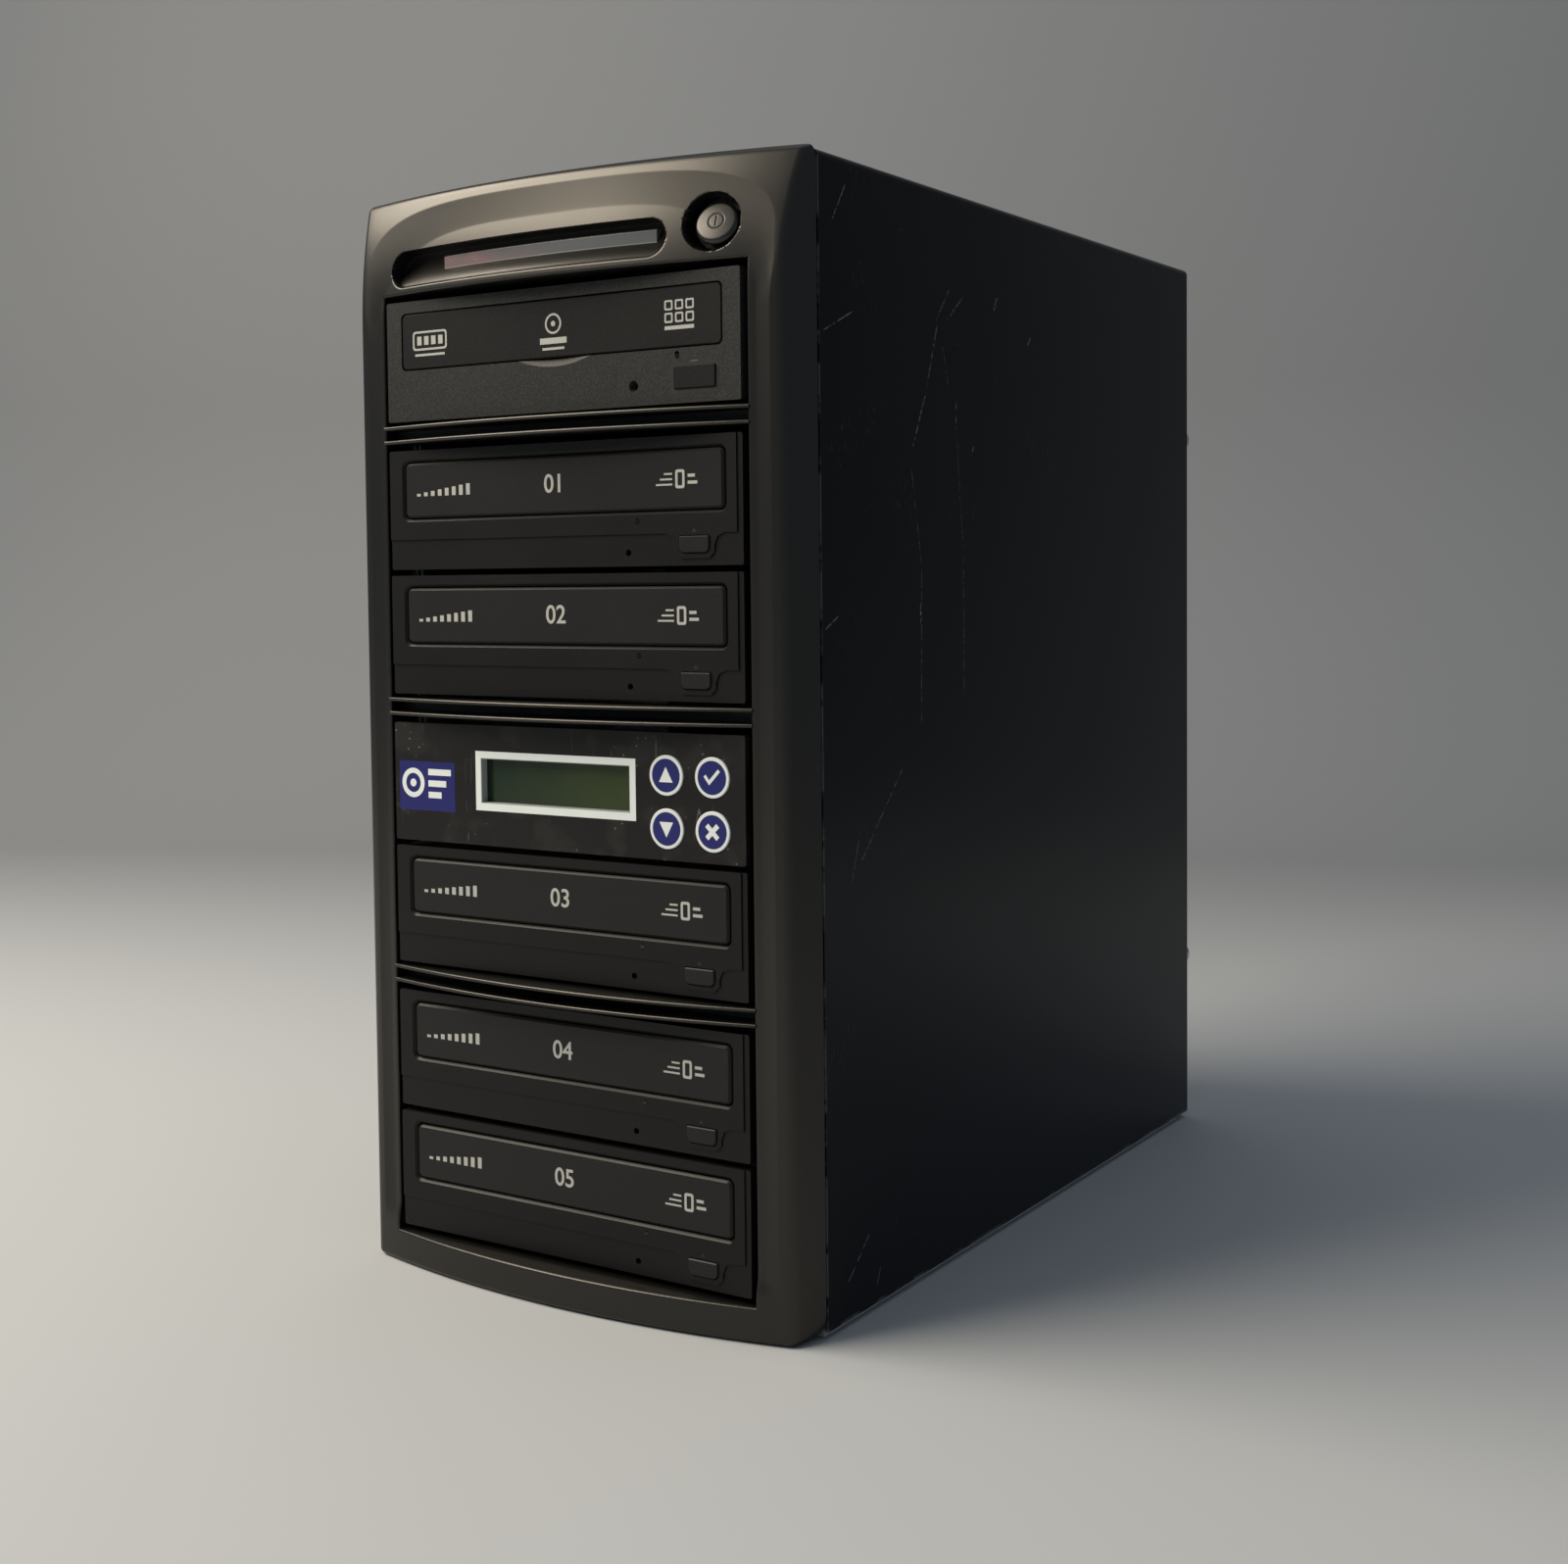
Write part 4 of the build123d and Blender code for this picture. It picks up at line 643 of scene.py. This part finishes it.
right_half = steps((0, 0.42), (75.6, 0.2), (76.0, 0.15), (77.0, 0.4), (85.4, 0.4))
front_x = np.concatenate([-right_half[:0:-1], right_half])
front_h = steps((BEZEL_LOW + 1.6, 0.8), (8.5, 0.25), (9.5, 0.5), (10.5, 2.0), (30, 8.0), (326, 1.0), (336, 0.5),
                (339.2, 0.22), (340.3, 0.15), (341.3, 0.3), (372.8, 0.3))


def corner_round(x, radius):
    """How much the outline, seen from the front, is cut at a corner."""
    past = np.clip(np.abs(x) - (HALF - radius), 0.0, radius)
    return radius - np.sqrt(np.maximum(radius ** 2 - past ** 2, 0.0))


def plan_corner(h, inset):
    """The rounded corner and the slanting side of one row: X and depth, ending in the groove at the seam."""
    slope = (HALF - SIDE_CORNER[0]) / (SEAM - SIDE_CORNER[1])
    depth = SIDE_CORNER[1]
    for _ in range(6):
        corner_x = SIDE_CORNER[0] + (depth - SIDE_CORNER[1]) * slope - inset
        depth = float(bow(corner_x) + lean(h)) + inset
    start_x = corner_x - CORNER_REACH
    start = np.array([start_x, float(bow(start_x) + lean(h)) + inset])
    end_y = min(depth + CORNER_REACH, SEAM - SEAM_GROOVE - 0.1)
    end = np.array([min(corner_x + CORNER_REACH * slope, HALF - inset), end_y])
    t = np.linspace(0, 1, 9)[:, None]
    arc = (1 - t) ** 2 * start + 2 * t * (1 - t) * np.array([corner_x, depth]) + t ** 2 * end
    side = np.linspace(end, [HALF - inset, SEAM - SEAM_GROOVE], 5)[1:]
    groove = np.array([[HALF - inset - GROOVE_DEPTH, SEAM - SEAM_GROOVE], [HALF - inset - GROOVE_DEPTH, SEAM]])
    return np.concatenate([arc, side, groove])


def row(h, inset=0.0):
    """Points of one row, from the left seam round the front to the right seam."""
    corner = plan_corner(h, inset)
    edge = min(corner[0, 0] - 0.05, 85.4 + 10 * inset)
    inner = front_x[np.abs(front_x) <= 85.4] * min(1.0, (corner[0, 0] - 0.2) / 85.5)
    x = np.concatenate([-corner[::-1, 0], inner, corner[:, 0]])
    y = np.concatenate([corner[::-1, 1], surface(inner, h) + inset, corner[:, 1]])
    foot = corner_round(x, 7.0) * max(0.0, 1.0 - (h - BEZEL_LOW) / 14.0)
    crown = corner_round(x, 2.5) * max(0.0, 1.0 - (BEZEL_TOP - h) / 8.0)
    return np.stack([x, y, h + foot - crown], axis=1)


FOOT_ROUND = 1.6
CROWN_ROUND = 2.2
rows = []
for share in np.linspace(0.0, 1.0, 5)[:-1]:
    base = row(BEZEL_LOW, FOOT_ROUND)
    base[:, 1] = SEAM + (base[:, 1] - SEAM) * share
    rows.append(base)
for angle in np.linspace(0, math.pi / 2, 6)[:-1]:
    rows.append(row(BEZEL_LOW + FOOT_ROUND * (1 - math.cos(angle)), FOOT_ROUND * (1 - math.sin(angle))))
rows += [row(h) for h in front_h]
for angle in np.linspace(0, math.pi / 2, 8)[1:]:
    rows.append(row(BEZEL_TOP - CROWN_ROUND * (1 - math.sin(angle)), CROWN_ROUND * (1 - math.cos(angle))))
edge = rows[-1]
for share in (0.35, 0.7, 1.0):
    crown = edge.copy()
    crown[:, 1] = np.maximum(edge[:, 1], edge[:, 1] + (SEAM - SEAM_GROOVE - edge[:, 1]) * share)
    rows.append(crown)
for depth in (SEAM - SEAM_GROOVE, SEAM):
    sunk = edge - np.array([0, 0, GROOVE_DEPTH])
    sunk[:, 1] = depth
    rows.append(sunk)
grid = np.array(rows)
print("bezel skin", grid.shape)


# %% Bezel: the skin becomes a mesh
def outside_opening(point):
    return abs(point[0]) > BAY_HALF or point[2] < BAY_LOW or point[2] > BAY_HIGH or point[1] > SEAM - 1


count = grid.shape[1]
faces = []
dish_faces = []
for i in range(grid.shape[0] - 1):
    for j in range(count - 1):
        middle = (grid[i, j] + grid[i + 1, j + 1]) / 2
        if outside_opening(middle):
            dish_faces.append(inside_dish(middle[0], middle[2]) > 0.25 and middle[1] < SEAM - 1.2)
            faces.append((i * count + j, i * count + j + 1, (i + 1) * count + j + 1, (i + 1) * count + j))
bezel = mesh_object("bezel_skin", [at(*p) for p in grid.reshape(-1, 3)], faces)
bezel.data.materials.append(PEWTER)
bezel.data.materials.append(GLOSS_BLACK)
for polygon, dark in zip(bezel.data.polygons, dish_faces):
    polygon.material_index = int(dark)

shape = bmesh.new()
shape.from_mesh(bezel.data)
bmesh.ops.delete(shape, geom=[v for v in shape.verts if not v.link_faces], context="VERTS")
opening = [e for e in shape.edges if e.is_boundary and all(v.co.y < (FACE_Y + SEAM - 1) * MM for v in e.verts)]
walls = bmesh.ops.extrude_edge_only(shape, edges=opening)["geom"]
for vert in (g for g in walls if isinstance(g, bmesh.types.BMVert)):
    vert.co.y = SEAM_Y * MM
bmesh.ops.remove_doubles(shape, verts=shape.verts, dist=0.01 * MM)
bmesh.ops.recalc_face_normals(shape, faces=shape.faces)
for face in shape.faces:
    face.smooth = True
for corner in (e for e in shape.edges if e.calc_face_angle(0.0) > math.radians(50)):
    corner.smooth = False
shape.to_mesh(bezel.data)
shape.free()
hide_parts("front_bezel")
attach(bezel, "tower")
print("bezel faces", len(bezel.data.polygons))

# %% [markdown]
# ## Crossbars
# Between some drives the moulding carries two thin ribs side by side, with a slot between them whose back is a
# near-black strip of painted shade. Each is a loft: one rounded section, repeated along the bow and joined up.

# %% Crossbars
def loft(name, loops, material):
    """A closed piece from sections of equally many points, each section in millimetres."""
    size = len(loops[0])
    verts = [at(*p) for loop in loops for p in loop]
    faces = [tuple(range(size))[::-1], tuple((len(loops) - 1) * size + k for k in range(size))]
    for i in range(len(loops) - 1):
        for k in range(size):
            j = (k + 1) % size
            faces.append((i * size + k, i * size + j, (i + 1) * size + j, (i + 1) * size + k))
    piece = mesh_object(name, verts, faces)
    tidy_normals(piece)
    piece.data.materials.append(material)
    return piece


def tidy_normals(piece, angle=40):
    """Turn every face outwards and keep only sharp edges sharp."""
    shape = bmesh.new()
    shape.from_mesh(piece.data)
    bmesh.ops.recalc_face_normals(shape, faces=shape.faces)
    for face in shape.faces:
        face.smooth = True
    for edge in shape.edges:
        edge.smooth = edge.calc_face_angle(0.0) < math.radians(angle)
    shape.to_mesh(piece.data)
    shape.free()


def belong(piece, body):
    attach(piece, body)
    return piece


RIB_HALF_GAP = 2.45
RIB_LIFT = 0.5
RIB_ROUND = 0.7
RIB_BACK = 8.0
RIB_SET_BACK = 0.8
RIB_END = BAY_HALF + 0.6
span = np.linspace(-RIB_END, RIB_END, 61)
gaps = (("reader", "writer_1"), ("writer_2", "display"), ("writer_3", "writer_4"))
for number, (upper, lower) in enumerate(gaps, 1):
    lower_plate = "display_plate" if lower == "display" else f"{lower}_faceplate"
    middle = (low(f"{upper}_faceplate")[2] + high(lower_plate)[2]) / 2 - HOOD_Z + RIB_LIFT
    for place, side in (("upper", 1), ("lower", -1)):
        h = middle + side * RIB_HALF_GAP
        loops = []
        for x in span:
            front = float(bow(x)) + RIB_SET_BACK
            nose = [(x, front + RIB_ROUND * (1 - math.cos(a)), h + RIB_ROUND * math.sin(a))
                    for a in np.linspace(-math.pi / 2, math.pi / 2, 9)]
            loops.append(nose + [(x, RIB_BACK, h + RIB_ROUND), (x, RIB_BACK, h - RIB_ROUND)])
        belong(loft(f"crossbar_{number}_{place}", loops, PEWTER), "tower")
    # Behind each pair of ribs, a near-black strip is painted shade at the back of the slot between them.
    inner = RIB_HALF_GAP - RIB_ROUND + 0.2
    strip = [[(x, RIB_BACK - 1.2, middle - inner), (x, RIB_BACK - 0.9, middle), (x, RIB_BACK - 1.2, middle + inner),
              (x, RIB_BACK, middle + inner), (x, RIB_BACK, middle - inner)] for x in (-RIB_END, 0.0, RIB_END)]
    belong(loft(f"crossbar_{number}_painted_shade_web", strip, SHADOW_BLACK), "tower")
print("crossbars", len(gaps))

# %% [markdown]
# ## Light bar
# A clear moulded strip lies in the slot and follows the bow. Its front is a flat band with rounded edges.

# %% Light bar
BAR_LOW, BAR_HIGH = 346.8, 352.6
BAR_ENDS = (low("light_bar")[0], high("light_bar")[0])
BAR_ROUND = 0.5
bar_front = low("light_bar")[1] - FACE_Y
bar_back = high("light_bar")[1] - FACE_Y - 2.0
loops = []
for x in np.linspace(*BAR_ENDS, 49):
    front = bar_front + float(bow(x)) + BOW_SAG
    upper = [(x, front + BAR_ROUND * (1 - math.sin(a)), BAR_HIGH - BAR_ROUND * (1 - math.cos(a)))
             for a in np.linspace(0, math.pi / 2, 5)]
    lower = [(x, y, BAR_LOW + BAR_HIGH - h) for x, y, h in upper[::-1]]
    loops.append([(x, bar_back, BAR_HIGH)] + upper + lower + [(x, bar_back, BAR_LOW)])
light_bar = loft("light_bar_lens", loops, CLEAR_BAR)
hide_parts("light_bar")
belong(light_bar, "tower")
print("light bar", BAR_ENDS)

# %% [markdown]
# ## Power button
# A shallow dome with a rounded rim, and a circle with a bar engraved in it. The dome is a polar grid: rings of
# points whose height is the dome less the groove. Faces in the groove take a darker finish.

# %% Power button
CAP_RADIUS = 7.45
CAP_PROUD = 0.8
CAP_EDGE = 1.6
CAP_CROWN = 0.3
CAP_BACK = 1.0
SYMBOL_RADIUS = 2.6
SYMBOL_LINE = 0.22
SYMBOL_BAR = 1.5
GROOVE = 0.14
out_of_button = Vector((math.sin(BUTTON_TURN) * math.cos(BUTTON_TILT),
                        -math.cos(BUTTON_TURN) * math.cos(BUTTON_TILT), math.sin(BUTTON_TILT)))
right_of_button = Vector((math.cos(BUTTON_TURN), math.sin(BUTTON_TURN), 0))
up_of_button = right_of_button.cross(out_of_button) * -1
if up_of_button.z < 0:
    up_of_button = -up_of_button


def groove_share(a, b):
    """1 in the engraved circle and bar, 0 on the plain dome."""
    ring = abs(math.hypot(a, b) - SYMBOL_RADIUS)
    bar = math.hypot(a, max(0.0, abs(b) - SYMBOL_BAR))
    return float(1 - smooth(min(ring, bar), SYMBOL_LINE, SYMBOL_LINE + 0.12))


def dome_height(r):
    flat = CAP_RADIUS - CAP_EDGE
    crown = CAP_PROUD - CAP_CROWN * min(r / flat, 1.0) ** 2
    past = min(max(r - flat, 0.0) / CAP_EDGE, 1.0)
    return crown - CAP_EDGE * (1 - math.sqrt(1 - past ** 2))


radii = list(np.arange(0.12, 3.3, 0.12)) + list(np.linspace(3.5, CAP_RADIUS - CAP_EDGE, 6))
radii += [CAP_RADIUS - CAP_EDGE * (1 - math.sin(a)) for a in np.linspace(0.2, math.pi / 2, 8)]
TURNS = 96
angles = [2 * math.pi * k / TURNS for k in range(TURNS)]
rings = [[(r * math.cos(t), r * math.sin(t), dome_height(r)) for t in angles] for r in map(float, radii)]
rings.append([(CAP_RADIUS * math.cos(t), CAP_RADIUS * math.sin(t), -CAP_BACK) for t in angles])
points = [(0.0, 0.0, CAP_PROUD)] + [p for ring in rings for p in ring] + [(0.0, 0.0, -CAP_BACK)]
centre = at(*BUTTON_PLACE)
verts = [centre + (a * right_of_button + b * up_of_button
                   + (c - GROOVE * groove_share(a, b)) * out_of_button) * MM for a, b, c in points]
faces = [(0, 1 + k, 1 + (k + 1) % TURNS) for k in range(TURNS)]
for i in range(len(rings) - 1):
    faces += [(1 + i * TURNS + k, 1 + (i + 1) * TURNS + k, 1 + (i + 1) * TURNS + (k + 1) % TURNS,
               1 + i * TURNS + (k + 1) % TURNS) for k in range(TURNS)]
last = 1 + (len(rings) - 1) * TURNS
faces += [(len(points) - 1, last + (k + 1) % TURNS, last + k) for k in range(TURNS)]
button = mesh_object("power_cap", verts, faces)
tidy_normals(button)
button.data.materials.append(BUTTON_PEWTER)
button.data.materials.append(SHADOW_BLACK)
for polygon in button.data.polygons:
    here = sum((Vector(points[v]) for v in polygon.vertices), Vector()) / len(polygon.vertices)
    polygon.material_index = int(here.z > 0 and groove_share(here.x, here.y) > 0.5)
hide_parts("power_button")
belong(button, "power_button_body")
print("button faces", len(faces))

# %% [markdown]
# ## Prints, lenses and thin frames
# Marks on plastic are thin, flat and crisp. Each is a low block on a plane: an outline filled in, or a band
# between two outlines. The marks are plain ones: numbers on the writers, and small bars, squares and triangles.

# %% A print: many small marks in one mesh
class Print:
    """Flat marks between a front and a back plane, in millimetres behind the faceplate plane."""

    def __init__(self, front, back):
        self.planes = (front, back)
        self.verts = []
        self.faces = []

    def fill(self, outline):
        """One mark inside an outline of (X, height) points."""
        start, size = len(self.verts), len(outline)
        self.verts += [at(x, y, h) for y in self.planes for x, h in outline]
        self.faces.append(tuple(range(start, start + size)))
        self.faces.append(tuple(range(start + 2 * size - 1, start + size - 1, -1)))
        self.faces += [(start + k, start + size + k, start + size + (k + 1) % size, start + (k + 1) % size)
                       for k in range(size)]
        return self

    def band(self, outer, inner):
        """One mark between two outlines of equally many points."""
        start, size = len(self.verts), len(outer)
        self.verts += [at(x, y, h) for y in self.planes for outline in (outer, inner) for x, h in outline]
        for a, b in ((0, 1), (1, 3), (3, 2), (2, 0)):
            self.faces += [(start + a * size + k, start + a * size + (k + 1) % size,
                            start + b * size + (k + 1) % size, start + b * size + k) for k in range(size)]
        return self

    def make(self, name, material, body, slot):
        piece = mesh_object(name, self.verts, self.faces)
        tidy_normals(piece)
        piece.data.materials.append(material)
        return belong(piece, body)


def box(x0, x1, h0, h1, corner=0.0):
    """A rectangle's outline, with rounded corners where corner is more than 0."""
    if not corner:
        return [(x0, h0), (x1, h0), (x1, h1), (x0, h1)]
    centres = ((x1 - corner, h1 - corner, 0), (x0 + corner, h1 - corner, 90), (x0 + corner, h0 + corner, 180),
               (x1 - corner, h0 + corner, 270))
    return [(x + corner * math.cos(math.radians(start + a)), h + corner * math.sin(math.radians(start + a)))
            for x, h, start in centres for a in (0, 22.5, 45, 67.5, 90)]


def circle(x, h, radius, sides=40):
    return [(x + radius * math.cos(2 * math.pi * k / sides), h + radius * math.sin(2 * math.pi * k / sides))
            for k in range(sides)]


def triangle(x, h, half, tall, up=1):
    return [(x - half, h - up * tall / 2), (x + half, h - up * tall / 2), (x, h + up * tall / 2)]


def number(name, text, x, h, size, front, material, body, slot):
    """A plain number, as a thin mesh that stands on its plane."""
    curve = bpy.data.curves.new(name, "FONT")
    curve.body = text
    curve.size = size * MM
    curve.align_x = "CENTER"
    curve.align_y = "CENTER"
    curve.extrude = 0.03 * MM
    curve.offset = 0.012 * size * MM
    writing = bpy.data.objects.new(name + "_curve", curve)
    mesh = bpy.data.meshes.new_from_object(writing)
    bpy.data.objects.remove(writing)
    piece = bpy.data.objects.new(name, mesh)
    bpy.context.collection.objects.link(piece)
    mesh.transform(Matrix.Translation(at(x, front - 0.03, h)) @ Matrix.Rotation(math.pi / 2, 4, "X"))
    mesh.materials.clear()
    mesh.materials.append(material)
    return belong(piece, body)


PRINT_FRONT = -0.06

# %% Marks on the writers
DOOR_MIDDLE = 13.9            # from the faceplate's top down to the middle of the tray's door
STEPS_LEFT, STEP_PITCH, STEP_WIDE, STEP_RISE = -61.4, 3.2, 1.7, 0.42
LINES_LEFT, LINES_RIGHT, LINE_PITCH = 41.0, 47.4, 1.7
NUMBER_SIZE = 8.6
for order in range(1, 6):
    drive = f"writer_{order}"
    top = high(f"{drive}_faceplate")[2] - HOOD_Z
    middle = top - DOOR_MIDDLE
    marks = Print(PRINT_FRONT, 0.0)
    for step in range(8):
        x = STEPS_LEFT + STEP_PITCH * step
        marks.fill(box(x, x + STEP_WIDE, middle - 2.1, middle - 1.2 + STEP_RISE * step))
    for line in range(3):
        h = middle - 1.9 + LINE_PITCH * line
        marks.fill(box(LINES_LEFT + 1.6 * line, LINES_RIGHT, h, h + 0.6))
    marks.band(box(48.6, 52.2, middle - 2.9, middle + 3.1, 0.8), box(49.5, 51.3, middle - 2.0, middle + 2.2, 0.4))
    marks.fill(box(53.4, 57.1, middle - 1.6, middle - 0.6))
    marks.fill(box(53.4, 56.2, middle + 0.6, middle + 1.6))
    marks.make(f"{drive}_door_marks", INK_PALE, f"{drive}_tray_body", "drive_plastic")
    number(f"{drive}_number", f"0{order}", -0.7, middle + 0.1, NUMBER_SIZE, 0.0, INK_PALE, f"{drive}_tray_body",
           "drive_plastic")
    face_marks = Print(PRINT_FRONT, 0.0)
    face_marks.fill(triangle(55.7, top - 30.2, 1.0, 1.1))
    face_marks.make(f"{drive}_eject_mark", INK_DARK, "tower", "drive_plastic")
    lens = Print(-0.12, 0.3).fill(box(32.5, 34.1, top - 27.5, top - 26.3, 0.3))
    lens.make(f"{drive}_lamp_lens", GLOSS_BLACK, "tower", "drive_plastic")
print("writers marked")

# %% Marks on the reader
READER_MIDDLE = 323.4
marks = Print(PRINT_FRONT, 0.0)
marks.band(box(-62.0, -46.5, READER_MIDDLE - 2.6, READER_MIDDLE + 4.0, 1.2),
           box(-61.3, -47.2, READER_MIDDLE - 1.9, READER_MIDDLE + 3.3, 0.8))
for step in range(4):
    marks.fill(box(-60.0 + 3.2 * step, -58.0 + 3.2 * step, READER_MIDDLE - 0.8, READER_MIDDLE + 2.2))
marks.fill(box(-61.0, -47.5, READER_MIDDLE - 4.6, READER_MIDDLE - 3.8))
marks.band(circle(0.0, READER_MIDDLE + 2.2, 3.4), circle(0.0, READER_MIDDLE + 2.2, 2.7))
marks.fill(circle(0.0, READER_MIDDLE + 2.2, 0.9))
marks.fill(box(-5.6, 5.6, READER_MIDDLE - 4.4, READER_MIDDLE - 2.4))
marks.fill(box(-4.6, 4.6, READER_MIDDLE - 6.4, READER_MIDDLE - 5.6))
for column in range(3):
    for line in range(2):
        x, h = 45.2 + 4.1 * column, READER_MIDDLE - 1.2 + 4.0 * line
        marks.band(box(x, x + 3.2, h, h + 3.2, 0.5), box(x + 0.6, x + 2.6, h + 0.6, h + 2.6, 0.2))
marks.fill(box(45.2, 56.6, READER_MIDDLE - 3.4, READER_MIDDLE - 2.2))
marks.make("reader_door_marks", INK_PALE, "reader_tray_body", "drive_plastic")
face_marks = Print(PRINT_FRONT, 0.0)
face_marks.fill(triangle(56.6, 311.4, 1.3, 1.4))
face_marks.make("reader_eject_mark", INK_DARK, "tower", "drive_plastic")
Print(PRINT_FRONT, 0.0).fill(box(55.2, 58.0, 309.5, 309.9)).make("reader_eject_line", INK_DIM, "tower",
                                                                  "drive_plastic")
# A near-black band round the eject button is painted shade in the gap around it.
painted_gap_shade = Print(-0.03, 0.0)
painted_gap_shade.band(box(47.5, 65.7, 299.6, 309.2, 0.6), box(48.6, 64.6, 301.2, 308.3, 0.5))
painted_gap_shade.make("reader_eject_painted_gap_shade", SHADOW_BLACK, "tower", "drive_plastic")
Print(-0.1, 0.3).fill(circle(49.8, 311.6, 0.8)).make("reader_lamp_lens", GLOSS_BLACK, "tower", "drive_plastic")
print("reader marked")

# %% [markdown]
# ## Display panel
# A white frame stands a little proud around the window, and its deep sides are given grey, which is painted shade on
# the white plastic. A blue patch stands at the left. Each key is a white cap with a blue disc and a white sign.

# %% Display frame and patch
WINDOW = (-34.5, 29.0, 164.7, 180.3)
FRAME_WIDE = 2.3
outer = box(WINDOW[0] - FRAME_WIDE, WINDOW[1] + FRAME_WIDE, WINDOW[2] - FRAME_WIDE - 0.2, WINDOW[3] + FRAME_WIDE)
Print(-0.14, 0.0).band(outer, box(*WINDOW)).make("display_frame", INK_WHITE, "tower", "window_glass")
inner = box(WINDOW[0] + 0.25, WINDOW[1] - 0.25, WINDOW[2] + 0.25, WINDOW[3] - 0.25)
# The frame's inner sides are white plastic; their grey is painted shade.
Print(-0.10, 2.9).band(box(*WINDOW), inner).make("display_frame_sides", FRAME_SIDE_PAINTED_SHADE, "tower", "window_glass")
Print(-0.05, 0.0).fill(box(-72.0, -46.4, 160.8, 178.0)).make("panel_patch", INK_BLUE, "tower", "key_blue")
marks = Print(-0.10, -0.05)
marks.band(circle(-65.6, 170.4, 5.2), circle(-65.6, 170.4, 3.4))
marks.fill(circle(-65.6, 170.4, 1.4))
for h, end in ((174.4, -48.2), (170.4, -50.4), (166.4, -52.6)):
    marks.fill(box(-58.6, end, h - 1.1, h + 1.1))
marks.make("panel_patch_marks", INK_WHITE, "tower", "key_blue")

# %% Keys
KEY_RIM = 1.15


def sign(marks, kind, x, h):
    """The white sign on a key."""
    if kind in ("up", "down"):
        marks.fill(triangle(x, h + (0.3 if kind == "up" else -0.3), 2.7, 5.0, 1 if kind == "up" else -1))
    elif kind == "enter":
        marks.fill([(x - 3.1, h + 0.3), (x - 1.0, h - 2.4), (x + 3.2, h + 2.0), (x + 2.4, h + 2.8),
                    (x - 1.0, h - 0.8), (x - 2.3, h + 1.0)])
    else:
        arm, wide = 3.0, 0.8
        notch = [(wide, wide), (arm, wide), (arm, -wide), (wide, -wide), (wide, -arm), (-wide, -arm), (-wide, -wide),
                 (-arm, -wide), (-arm, wide), (-wide, wide), (-wide, arm), (wide, arm)]
        half = math.sqrt(0.5)
        marks.fill([(x + half * (a - b), h + half * (a + b)) for a, b in notch[::-1]])


for kind in ("up", "enter", "down", "escape"):
    key = f"key_{kind}"
    middle = (low(key) + high(key)) / 2
    x, h = middle[0], middle[2] - HOOD_Z
    face = low(key)[1] - FACE_Y
    radius = (high(key)[0] - low(key)[0]) / 2 - KEY_RIM
    Print(face - 0.05, face).fill(circle(x, h, radius, 64)).make(f"{key}_disc", INK_BLUE, f"{key}_body", "key_blue")
    marks = Print(face - 0.10, face - 0.05)
    sign(marks, kind, x, h)
    marks.make(f"{key}_sign", INK_WHITE, f"{key}_body", "key_blue")
    soften(key, 0.25)
print("keys done")
